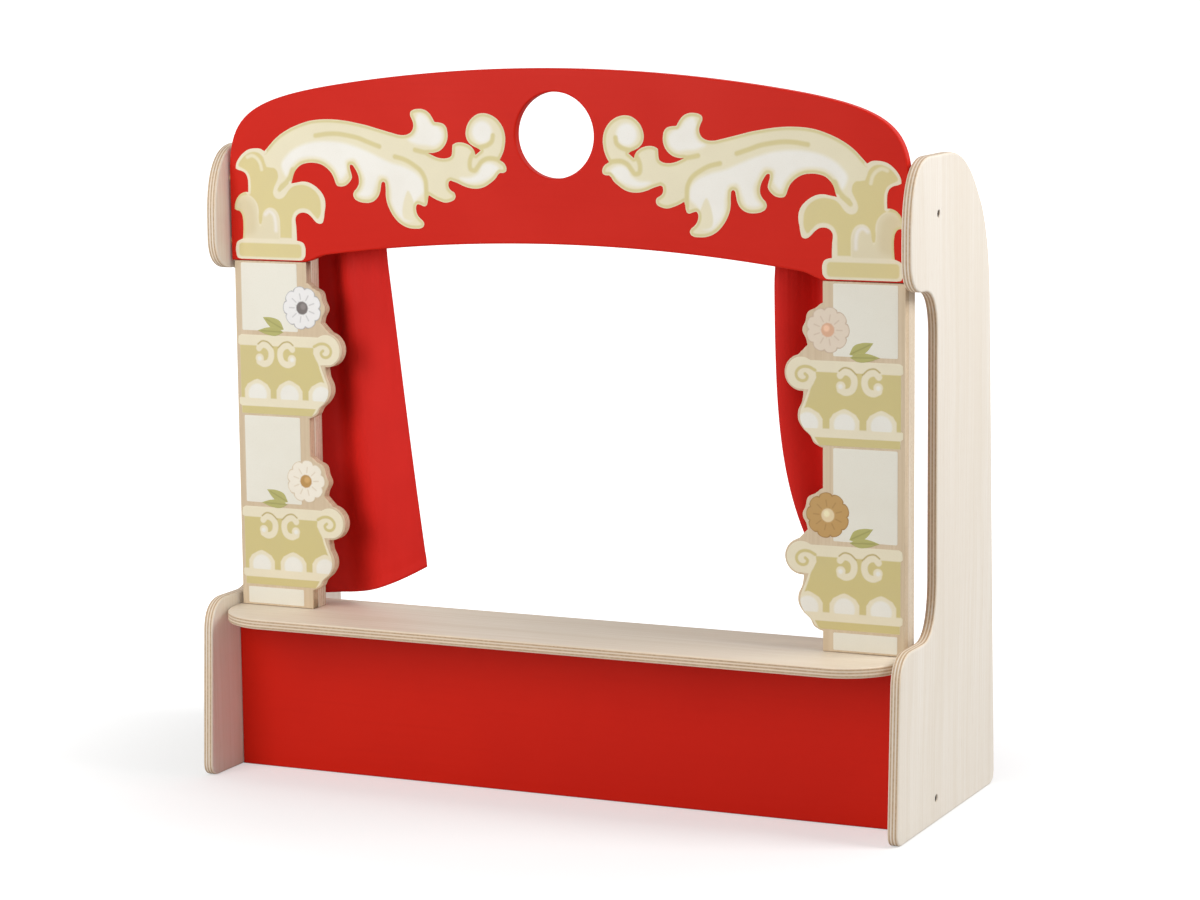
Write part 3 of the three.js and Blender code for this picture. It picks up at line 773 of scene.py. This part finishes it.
def coats(name, prints, setback):
    """One piece from printed coats, each with its side of the stage and how far it is raised."""
    solid = Solid()
    inks = []
    for coat, side, *lift in prints:
        front = solid.ring((side * u, setback - COAT - sum(lift) + SHIFT, v) for u, v in coat.flat)
        inks.extend(coat.colour)
        solid.faces.extend(tuple(front[number] for number in face) for face in coat.faces)
        edges = [pair for face in coat.faces for pair in zip(face, face[1:] + face[:1])]
        paired = set(edges)
        following = {a: b for a, b in edges if (b, a) not in paired}
        start = next(iter(following))
        loop = [start]
        while following[loop[-1]] != start:
            loop.append(following[loop[-1]])
        foot = solid.ring((side * u, setback + COAT_FOOT + SHIFT, v) for u, v in coat.flat[loop])
        inks.extend(coat.colour[loop])
        solid.wall([front[number] for number in loop], foot)
        solid.cap([foot])
    made = piece(name, solid, print_ink, "red_lacquer" if "arch" in name else "column_wood")
    layer = made.data.color_attributes.new("ink", "FLOAT_COLOR", "POINT")
    values = np.ones((len(inks), 4), np.float32)
    values[:, :3] = np.array(inks)
    layer.data.foreach_set("color", values.ravel())


def rounded(low_u, low_v, high_u, high_v, radius=1.2):
    """A rectangle with small round corners."""
    made = []
    left, right, low, high = low_u + radius, high_u - radius, low_v + radius, high_v - radius
    for quarter, centre in enumerate([(right, low), (right, high), (left, high), (left, low)]):
        made += arc(centre, radius, math.pi / 2 * (quarter - 1), math.pi / 2 * quarter, 4)
    return made


CREAM = (238, 228, 200)
GOLD = (213, 198, 138)
DEEP_GOLD = (188, 168, 104)
PALE = (242, 239, 229)
CONTOUR = (221, 208, 153)
KHAKI = (222, 207, 149)
SCROLL_CREAM = (238, 229, 198)
MILK = (247, 244, 236)

ARCH_SCROLL = [
    (54.5, 587, 1), (50.8, 594), (49, 601), (48.6, 607), (49.6, 613), (52.5, 619), (57, 624),
    (63, 627.5), (69.5, 629), (76, 628.2), (81.5, 625), (85.6, 620.5), (88, 615), (88.7, 610),
    (87.5, 605), (84.5, 601.2), (79.5, 598.3), (76, 596.8), (73.5, 595.2, 1), (79, 591, 1),
    (80, 594.5), (82.5, 597.8), (86, 600.2), (90, 601.6), (95, 602.2), (99, 601.6),
    (102.3, 599.8, 1), (102.6, 597), (102.8, 593), (103.6, 590), (106, 588.2), (110, 587.3),
    (115, 587.4), (120, 588.6), (124, 590.2), (127.5, 591.9, 1), (122, 592.2), (116, 594),
    (112, 597), (109, 601), (107.3, 606), (107.3, 611), (108.6, 616), (111.5, 618.8),
    (115.5, 619.9), (120.3, 620.3, 1), (122.5, 624), (125, 627.5), (128.5, 630.4), (133, 631.9),
    (138, 632), (142, 631.2), (144.8, 629.4), (145.4, 626.6), (143.8, 622.6), (142.3, 618.5),
    (142.6, 614.5), (144.6, 611), (148, 608.8), (152, 607.9), (157, 608), (163, 609.3),
    (172, 611.5), (182, 614), (192, 616.5), (200, 618), (212, 620), (222, 621), (232, 621.3),
    (242, 620.8), (252, 619.3), (262, 616.3), (272, 612.3), (282, 606.8), (290, 600.6),
    (296, 594.5), (300, 590.5, 1), (304, 592.6), (311, 593), (318, 591.5), (324, 587.5),
    (328.5, 582.5), (331, 577.5), (331.3, 573.8, 1), (328.5, 572.5), (324, 571.3),
    (320.5, 568.8), (318.8, 565), (318.3, 559), (318.4, 552, 1), (322.5, 551.8), (327, 549.8),
    (331, 545.5), (333.2, 540), (333.6, 536, 1), (332, 534.8), (328.5, 534), (326, 531),
    (324.8, 526), (324.6, 519), (325, 512), (325.4, 508, 1), (328, 507), (331.5, 505),
    (333, 501.5), (333, 494), (331.5, 490), (327.5, 488.9, 1), (265, 488.9, 1), (262, 489.4),
    (259, 492.5), (258.3, 497), (258.5, 501.5), (260.5, 505.5), (264, 507), (267.3, 507.5, 1),
    (267.3, 512), (267.6, 520), (267.5, 530), (265, 532.7), (261, 534), (256, 533.5),
    (251.3, 530.5), (248, 527), (245.3, 524.8), (242, 524), (239.5, 525), (238, 529), (237, 535),
    (236, 541), (236.3, 546), (238.5, 551.5), (242.5, 556), (248, 560), (254, 562.5), (260, 563),
    (266, 562), (272, 561, 1), (270.5, 565), (269, 570), (266, 574.5), (261, 578.5),
    (255, 580.3), (248, 580.8), (240, 579.5), (233.5, 576), (228.5, 571), (226, 566),
    (224.5, 562), (223, 560), (220, 559.3), (215, 560), (210.5, 563), (207.3, 568), (208, 572),
    (209.3, 577), (209, 579.5), (207, 579.7), (204.5, 577), (201.5, 572), (200, 567),
    (200.3, 562), (202.5, 558), (205.3, 555), (206.3, 552), (205, 548.5), (201, 546),
    (195, 544.8), (189, 545), (184, 547), (180, 551), (178, 555.5), (177, 560.5), (176, 564),
    (174.5, 564.8), (173, 564), (172.2, 560), (172, 551), (171, 545.5), (169, 540.5),
    (164, 532.5), (159, 527.5), (154, 524.5), (149, 522.8), (141.5, 522.2), (136.5, 522.7),
    (133.5, 524.5), (132.7, 527), (134, 529.5), (137, 532), (139.5, 535), (141, 540),
    (140.7, 543), (139.5, 544.7), (136, 544.2), (132, 543), (130, 544), (129, 546.5),
    (128.2, 551), (127.5, 553.5, 1), (123, 551), (117, 548.5), (111, 547), (105, 548),
    (101, 550.3), (100, 553.3), (101, 556), (104, 557.8), (106.3, 560), (107.2, 563.5),
    (106.5, 566.3), (104.7, 567.3, 1), (98, 565.2), (91, 562.3), (84, 560.6), (77, 560.5),
    (70, 562.3), (64, 566), (59, 570), (56, 574), (54.5, 575.3, 1), (51, 575.3), (48.3, 576.7),
    (47.8, 579.7), (49.5, 583.5)]

SCROLL_WASHES = [
    [(56, 580), (60, 583), (67, 584), (73, 581), (76, 575), (83, 571), (95, 569.5), (90, 566.5),
     (80, 565.5), (70, 568), (62, 573)],
    [(114, 603), (112.5, 610), (117, 616), (124, 619), (129, 625), (137, 628), (139.5, 622),
     (138, 614), (142, 607), (148, 604), (140, 600), (130, 599), (120, 598.5)],
    [(282, 578), (275, 588), (262, 596), (247, 600), (230, 601), (212, 599), (195, 594),
     (180, 588), (168, 583), (150, 578), (140, 573), (134, 566), (133, 556), (140, 549),
     (146, 540), (145, 530), (152, 529), (160, 535), (166, 545), (167, 558), (171, 569),
     (178, 570), (183, 560), (187, 552), (194, 550), (200, 552), (196, 558), (194, 566),
     (198, 576), (205, 585), (213, 583), (213, 572), (219, 566), (224, 574), (231, 581),
     (240, 585), (250, 586), (262, 584), (272, 576), (277, 568)]]

SCROLL_STROKES = [
    [(178, 597), (190, 601), (200, 604.5), (210, 606.5), (222, 608), (232, 607.8), (245, 606)],
    [(162, 588), (152, 585.5), (143, 581), (135, 575), (131, 568), (130, 558), (130, 550)],
    [(141, 594.5), (134, 593), (127.5, 592)],
    [(61, 609), (62, 604), (66, 600.5), (72, 598.5), (77, 597.5)],
    [(55, 587), (60, 588), (67, 588), (73, 585), (77, 580), (80, 577), (84, 578), (85, 583),
     (83, 590), (80, 594)]]


def arch_scroll():
    """The scroll on one half of the arch, from the hole out to the capital over the column."""
    coat = Print(curve(ARCH_SCROLL, 0.9), SCROLL_CREAM)
    for wash in SCROLL_WASHES:
        coat.wash(curve(wash, 1.5), MILK, 5.0, 0.95)
    coat.disc((72, 612), 10, MILK, 5.0)
    coat.wash(curve([(143, 530), (153, 531), (153, 549), (149, 557), (144, 549)], 1.5),
              SCROLL_CREAM, 2.5)
    coat.band(3.0, CONTOUR, 2.0)
    coat.band(0.8, SCROLL_CREAM, 0.7, 0.85)
    for stroke in SCROLL_STROKES:
        coat.stroke(stroke, 4.4, CONTOUR, 2.2)
    capital(coat)
    return coat


CAPITAL_BODY = [
    (328.5, 577), (325, 583), (319, 587.5), (312, 589.7), (306, 588.7), (301.5, 584.7),
    (299.5, 579.5), (298, 576, 1), (294, 575.4), (289.5, 574.8), (286.5, 571.5), (286, 566),
    (288, 561.5), (290.8, 556), (291.6, 551.5), (289.5, 547.5), (285.5, 546.2), (281.5, 547.3),
    (278, 550.5), (274.5, 555), (270, 558.3), (264, 560), (257, 559.6), (250.5, 557.2),
    (245, 552.8), (241.7, 547), (240.8, 540), (241.4, 533), (244.5, 528.6), (248.5, 532),
    (253, 536.4), (258, 538), (264, 537.4), (269, 534.3), (271.8, 529), (272.3, 520),
    (272.6, 509.8, 1), (285, 509.8, 1), (285, 520), (285.4, 528), (287.5, 533.5), (291, 536.8),
    (296, 537.8), (300.5, 535.7), (303.2, 531), (303.8, 526), (305, 522, 1), (307.4, 522.4, 1),
    (308, 528), (307.6, 535), (309, 541), (312.5, 545.8), (317, 548.8), (323, 549.8, 1),
    (317, 552.5), (315.9, 556), (315.9, 561), (316.4, 566), (319, 570.6), (323.5, 573.6)]
BELL = [
    (326, 508.5, 1), (325.6, 520), (327, 531), (331.8, 536.6), (332.4, 541), (329.5, 546),
    (324, 548.6), (318, 548), (312.5, 544.5), (309.6, 539), (309, 532), (308.6, 525),
    (306.3, 520), (303.8, 524), (303.4, 529.5), (301, 533.8), (296.5, 536), (291.5, 535),
    (288, 531), (286.3, 525), (286, 515), (286, 508.5, 1)]
BELL_TAN = [(330, 543), (323, 546.5), (315, 542), (311.5, 530), (313, 514), (323, 512), (324, 525)]
BELL_LIGHT = [(300.5, 531.5), (296, 534.3), (291.7, 531.5), (289.8, 525), (289.5, 516.5)]
CURL = [(284.6, 572), (283.6, 566), (286, 560), (288.7, 555), (288.2, 550.8), (284.3, 549),
        (280.6, 550.8), (277.5, 554.5), (274, 558.4), (268, 561)]
LOBE_LIGHT = [(318.5, 584.8), (313.5, 586.2), (308.6, 584), (305, 579.5), (303.4, 573.5)]


def capital(coat):
    """The leafy bell and the block of a capital, below the scroll's outer curl."""
    def rim(start, stop):
        return ARCH_SCROLL[ARCH_SCROLL.index(start):ARCH_SCROLL.index(stop) + 1]

    coat.stroke([(269.5, 573), (272.5, 566), (278, 560), (284, 556)], 6.5, CONTOUR, 2.4)
    coat.wash([(237, 507), (237, 563.5), (273, 562), (292, 546), (334, 549), (334, 507)],
              CREAM, 0.8)
    coat.wash([(300, 591), (299.5, 548), (318.6, 548), (320, 570), (333, 573), (330, 584),
               (316, 594)], CREAM, 1.6)
    coat.wash(curve(CAPITAL_BODY, 1.0), KHAKI, 1.4)
    coat.stroke(CURL, 3.4, CREAM, 1.2)
    coat.stroke(LOBE_LIGHT, 3.2, SCROLL_CREAM, 2.2, 0.9)
    coat.wash(curve(BELL, 1.0), (230, 219, 186), 1.8)
    coat.wash(curve(BELL_TAN, 1.5), (220, 206, 167), 9.0, 0.8)
    coat.stroke(BELL_LIGHT, 3.2, (244, 238, 230), 4.0, 0.85)
    coat.stroke(rim((318.4, 552, 1), (325.4, 508, 1)), 4.4, CONTOUR, 2.4)
    coat.stroke(rim((300, 590.5, 1), (318.4, 552, 1)), 5.2, CREAM, 1.2)
    coat.stroke(rim((267.3, 507.5, 1), (272, 561, 1)), 5.2, CREAM, 1.2)
    coat.wash([(257, 488), (334, 488), (334, 508.2), (257, 508.2)], CREAM, 1.0)
    coat.wash(rounded(262.6, 491.2, 329.8, 504.2, 3.5), KHAKI, 1.6)


scroll = arch_scroll()
coats("arch_scrollwork", [(scroll, -1), (scroll, 1)], STAGE_SETBACK)


POINTED_PANEL = [(-14, 355), (-14, 365.5), (-10.5, 370.5), (-3.5, 374.3), (0, 375.4)]
PANEL_LIGHT = [(0, 354.5), (-9, 357), (-9.5, 364), (-6, 369), (0, 371)]


def symmetric(half, centre):
    """An outline from its left half and the mirror image of that."""
    return ([(centre + u, v) for u, v in half]
            + [(centre - u, v) for u, v in reversed(half) if u])


def balcony_print(rail):
    """The rail, volute, scrolls, row of pointed panels and sill of a balcony."""
    def up(points):
        return [(u, v - RAILS[0] + rail) for u, v in points]

    volute = up([(238.7, 405.5)])[0]
    outline = (up([(333.5, 410.5), (333, 415.5), (330, 417.3), (259, 417.3)])
               + arc(volute, 14.4, 0.95, 2.85 + math.pi / 2, 40)
               + curve(up([(245.2, 391), (243.4, 386), (240.6, 379), (237.6, 371),
                           (237.6, 363.5), (241.5, 356), (248, 350), (251, 345.5),
                           (255.5, 342.2)]), closed=False)
               + up([(331, 342.0), (331.4, 349.5), (333.5, 351), (333.5, 356.4), (331.6, 358),
                     (331.6, 407), (333.5, 408.5)]))
    coat = Print(outline, CREAM)
    ground = (up([(331.6, 357.2), (331.6, 407.2), (252, 407.2), (252.6, 402)])
              + curve(up([(250, 396.5), (247.4, 392), (245.6, 386), (243, 379), (240.4, 371),
                          (240.6, 363.5), (243.5, 357.2)]), closed=False))
    coat.wash(ground, GOLD, 0.8)
    for centre in (244.5, 279, 313.5):
        coat.wash(up(symmetric(POINTED_PANEL, centre)), CREAM, 0.8)
        coat.wash(curve(up(symmetric(PANEL_LIGHT, centre)), 1.2), PALE, 2.4)
    coat.wash(up([(334, 349.8), (334, 356.8), (240, 356.8), (245, 349.8)]), CREAM, 0.7)
    coat.wash(up([(331, 341), (331, 349.3), (251, 349.3), (256, 341)]), GOLD, 0.8)
    for middle, turn in ((281, 1), (305, -1)):
        def scroll(points):
            return up([(middle + turn * u, v) for u, v in points])

        hook = [(-6, 404.8), (-3, 408), (2, 407.6), (6.4, 403.5), (7.2, 398), (4.6, 392),
                (-1, 390), (-6, 392)]
        brow = [(-7, 408.6), (-2.5, 411.6), (3, 411), (9.2, 406)]
        ball, shine = scroll([(-5.4, 395.2), (-5.6, 395)])
        coat.stroke(scroll(hook), 6.2, CREAM, 0.9)
        coat.disc(ball, 4.4, CREAM, 0.9)
        coat.disc(shine, 2.2, PALE, 2.0)
        coat.stroke(scroll(brow), 1.3, DEEP_GOLD, 0.9)
    coat.disc(volute, 13.2, CREAM, 0.8)
    coat.stroke(up([(251.5, 408.4), (246, 411), (241, 411.4), (236, 409.2), (233.6, 405),
                    (235, 400.6), (239, 398.6), (243, 399.8), (244.2, 402.7), (242, 404.9)]),
                2.8, GOLD, 0.9)
    return coat


DAISY_RADIUS = 20.5
DAISY_SPACING = 0.7


def daisy(centre, petal, shade, heart, start):
    """A printed daisy: a ring of petals round a heart."""
    rim = []
    steps = PETALS * 12
    for step in range(steps):
        angle = start + 2 * math.pi * step / steps
        scallop = abs(math.cos(PETALS * (angle - start) / 2)) ** 0.5
        reach = DAISY_RADIUS * (0.9 + 0.1 * scallop)
        rim.append((centre[0] + reach * math.cos(angle), centre[1] + reach * math.sin(angle)))
    coat = Print(rim, shade, DAISY_SPACING)
    wide = DAISY_RADIUS * math.sin(math.pi / PETALS) * 0.86
    for index in range(PETALS):
        angle = start + 2 * math.pi * index / PETALS
        along = Vector((math.cos(angle), math.sin(angle)))
        off = Vector((-along.y, along.x))

        def at(run, aside):
            return tuple(Vector(centre) + along * DAISY_RADIUS * run + off * wide * aside)

        coat.wash(curve([at(0.2, 0), at(0.45, 0.62), at(0.74, 1), at(0.92, 0.66), at(0.97, 0),
                         at(0.92, -0.66), at(0.74, -1), at(0.45, -0.62)], 1.0), petal, 0.9)
        coat.stroke([at(0.4, 0), at(0.66, 0)], 0.9, shade, 1.0, 0.7)
    coat.disc(centre, DAISY_RADIUS * 0.3, heart, 1.0)
    coat.disc((centre[0] - 1.2, centre[1] + 1.4), DAISY_RADIUS * 0.14,
              [min(255, c + 32) for c in heart], 2.4, 0.8)
    return coat


def leaf(root, tip, belly):
    """A printed leaf from its root to its tip."""
    start, stop = Vector(root), Vector(tip)
    run = stop - start
    off = run.orthogonal().normalized() * belly

    def at(share, aside):
        return tuple(start + run * share + off * aside)

    coat = Print(curve([(*start, 1), at(0.3, 1), at(0.65, 0.8), (*stop, 1), at(0.65, -0.8),
                        at(0.3, -1)], 1.0), LEAF)
    coat.stroke([at(0.08, 0), at(0.85, 0)], 0.9, LEAF_VEIN, 0.9, 0.8)
    return coat


# Each daisy has the colours of its petals, their shade and its heart
DAISIES = {
    ("left", 0): [(240, 238, 236), (176, 172, 172), (120, 112, 110)],
    ("left", 1): [(246, 238, 222), (216, 196, 166), (190, 146, 84)],
    ("right", 0): [(232, 216, 196), (206, 182, 158), (226, 178, 146)],
    ("right", 1): [(196, 154, 92), (164, 122, 66), (236, 214, 172)],
}
LEAF = (184, 180, 112)
LEAF_VEIN = (150, 146, 84)
PANELS = [(268.5, 421.5, 328.5, 485.5), (268.5, 257.2, 328.5, 340.2), (268.5, 159.6, 328.5, 175.2)]
PANEL_PALE = (238, 234, 220)
PANEL_SPACING = 6.0
FLOWER_LIFT = 0.02
LEAF_LIFT = 0.08

balconies = [balcony_print(rail) for rail in RAILS]
for name, side in SIDES:
    panels = [Print(rounded(*bounds), PANEL_PALE, PANEL_SPACING) for bounds in PANELS]
    coats(f"{name}_column_print", [(coat, side) for coat in balconies + panels], STAGE_SETBACK)
    flowers = []
    for index, rail in enumerate(RAILS):
        centre = (COLUMN_INNER + FLOWER_INSET, rail + FLOWER_RISE)
        flowers += [(daisy(centre, *DAISIES[name, index], 0.3 * index), side),
                    (leaf((283.5, rail + 6), (306, rail + 17), 5.2), side),
                    (leaf((284, rail + 3.4), (312, rail + 4.2), 4.0), side, LEAF_LIFT)]
    coats(f"{name}_column_flowers", flowers, STAGE_SETBACK - FLOWER_LIFT)


# Curtains

ROWS = 120
POCKET_ROWS = 22
STATIONS = 240
CLOTH = 0.9
NECK = 13
POCKET_RADIUS = 7.9
SIDE_GAP = 18
SPREAD = 2
HEM_CLEARANCE = 9
OPENING_SHARE = 0.16
FOLD_DEPTH_AT_NECK = 4.6
FOLD_DEPTH_ADDED = 8.4
GATHER_DROP = 22
HEM_ROWS = ROWS / 3.4
HEM_STITCH = 0.5
CURTAINS = {
    "left": {"side": -1, "width": 124.7, "sweep": -40.1, "power": 1, "lift": 32, "hem": 0.5,
             "crest": 0.28, "near": 1.6},
    "right": {"side": 1, "width": 121.6, "sweep": 84.5, "power": 4.5, "lift": 9, "hem": 0.55,
              "crest": 0, "near": 1.15},
}


def cloth_point(curtain, across, down):
    """Where the hanging cloth lies, and its fold and ruffle there.

    across runs from the outer edge to the leading edge, and down from the neck to the hem."""
    outer = INNER_FACE - SIDE_GAP - SPREAD * down
    lead = (INNER_FACE - SIDE_GAP - curtain["width"]
            + curtain["sweep"] * down ** curtain["power"])
    from_crest = 1 - across - curtain["crest"]
    if from_crest > 0:
        folds = curtain["near"] * from_crest + 1.9 * from_crest ** 2
    else:
        folds = 0.6 * from_crest
    folds += 0.05 * math.sin(4.1 * down + 5.3 * across) * down
    opening = min(1, down / OPENING_SHARE)
    opened = opening * opening * (3 - 2 * opening)
    depth = ((FOLD_DEPTH_AT_NECK + FOLD_DEPTH_ADDED * opened)
             * (1 - (1 - curtain["hem"]) * down))
    top = ROD_HEIGHT - NECK
    lift = max(0, (across - 0.45) / 0.55) ** 1.6
    hem = COUNTER_TOP + HEM_CLEARANCE + curtain["lift"] * lift
    gather = math.exp(-down * (top - hem) / GATHER_DROP)
    ruffle = gather * (0.9 * math.sin(across * curtain["width"] * 0.98)
                       + 0.5 * math.sin(across * curtain["width"] * 1.71 + 1.3))
    wave = math.cos(2 * math.pi * folds)
    return (curtain["side"] * (outer + (lead - outer) * across),
            ROD_SETBACK - depth * wave - ruffle, top + (hem - top) * down), wave, ruffle


def cloth_column(curtain, across):
    """One line of points from the hem up, over the rod and down behind it."""
    made = []
    for row in range(ROWS, -1, -1):
        down = row / ROWS
        (x, y, z), wave, ruffle = cloth_point(curtain, across, down)
        above_hem = (1 - down) * HEM_ROWS
        stitched = HEM_STITCH * math.exp(-((above_hem - 1.0) * 2.2) ** 2)
        made.append((x, y + stitched, z))
    radius = POCKET_RADIUS + 0.5 + 0.6 * wave + 0.5 * ruffle
    tail = math.asin((ROD_SETBACK - y) / max(radius, 6.6) * 0.9)
    for step in range(1, POCKET_ROWS):
        angle = tail + 2 * math.pi * step / POCKET_ROWS
        made.append((x, ROD_SETBACK - radius * math.sin(angle),
                     ROD_HEIGHT - radius * math.cos(angle)))
    return made + [(x, y + 1.3, z + 0.5), (x, y + 1.2, z - 4), (x, y + 1.2, z - 7)]


def hang_curtain(name, curtain):
    solid = Solid()
    columns = [solid.ring((x, y + SHIFT, z)
                          for x, y, z in cloth_column(curtain, station / STATIONS))
               for station in range(STATIONS + 1)]
    for low, high in zip(columns, columns[1:]):
        solid.wall(low, high, closed=False)
    body = f"{name}_curtain"
    made = piece(f"{body}_cloth", solid, curtain_satin, "curtain_cloth", replaces=[body],
                 cloth=True)
    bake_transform(made)
    thick = made.modifiers.new("cloth", "SOLIDIFY")
    thick.thickness = CLOTH * MM
    thick.offset = 0
    return made


for name, curtain in CURTAINS.items():
    hang_curtain(name, curtain)


# Floor, lamps and camera

FLOOR_REACH = 60
ROOM_LIGHT = 0.42
CAMERA_AT = (1.36528, -2.799826 + SHIFT * MM, 0.79994)
CAMERA_TURNS = (81.446251, 0.585683, 24.748515)
CAMERA_LENS = 105.4546


def studio_floor():
    """A pale floor that keeps the object's shadow and meets the white background."""
    mesh = bpy.data.meshes.new("studio_floor")
    mesh.from_pydata([(FLOOR_REACH * x, FLOOR_REACH * y, 0)
                      for x, y in ((-1, -1), (1, -1), (1, 1), (-1, 1))], [], [(0, 1, 2, 3)])
    made = bpy.data.objects.new("studio_floor", mesh)
    bpy.context.scene.collection.objects.link(made)
    finish = Finish("studio_floor")
    cloud = finish.noise(finish.place(), 3.0)
    seen = finish.node("LightPath", out="Is Camera Ray")
    spot = finish.node("TexCoord", out="Object")
    away = finish.node("VectorMath", {"operation": "LENGTH"}, [spot], out="Value")
    level = finish.between(away, 0.3, 1.0, 0.42, 1.0)
    mesh.materials.append(finish.shade(
        Base_Color=finish.mix(cloud, (205, 205, 205), (202, 202, 202)), Roughness=0.9,
        Emission_Color=finish.mix(seen * level, (0, 0, 0), (255, 255, 255)),
        Emission_Strength=1.0))
    made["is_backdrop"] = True


def white_world(strength):
    """White where the camera, gloss or glass sees it, and plain soft light on the object."""
    world = bpy.data.worlds.new("white_room")
    bpy.context.scene.world = world
    finish = Finish(world, "OutputWorld")
    seen = finish.node("LightPath", out="Is Camera Ray")
    for other in ("Is Glossy Ray", "Is Transmission Ray"):
        seen = seen.sum("MAXIMUM", finish.node("LightPath", out=other))
    light = finish.node("Background", inputs={
        "Color": paint((255, 255, 255)), "Strength": seen * (1 - strength) + strength})
    finish.tree.links.new(light.socket, finish.surface)


def lamp(name, place, aim, size, power):
    """A square soft lamp that points at a spot."""
    data = bpy.data.lights.new(name, "AREA")
    data.shape = "SQUARE"
    data.size = size
    data.energy = power
    made = bpy.data.objects.new(name, data)
    made.location = place
    made.rotation_euler = (Vector(aim) - Vector(place)).to_track_quat("-Z", "Y").to_euler()
    bpy.context.scene.collection.objects.link(made)


studio_floor()
white_world(ROOM_LIGHT)
lamp("front_left_lamp", (-0.6, -1.3, 0.85), (0, 0, 0.35), 1.0, 10.6)
lamp("front_right_lamp", (1.0, -2.7, 0.9), (-0.2, 0, 0.3), 1.0, 3)
lamp("right_lamp", (1.7, 0.2, 1.6), (0.35, 0, 0.4), 0.9, 25)

camera_data = bpy.data.cameras.new("photo_camera")
camera_data.sensor_width = 36
camera_data.lens = CAMERA_LENS
camera = bpy.data.objects.new("photo_camera", camera_data)
camera.location = CAMERA_AT
camera.rotation_euler = [math.radians(turn) for turn in CAMERA_TURNS]
bpy.context.scene.collection.objects.link(camera)
bpy.context.scene.camera = camera
bpy.context.scene.view_settings.view_transform = "Standard"

low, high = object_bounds()
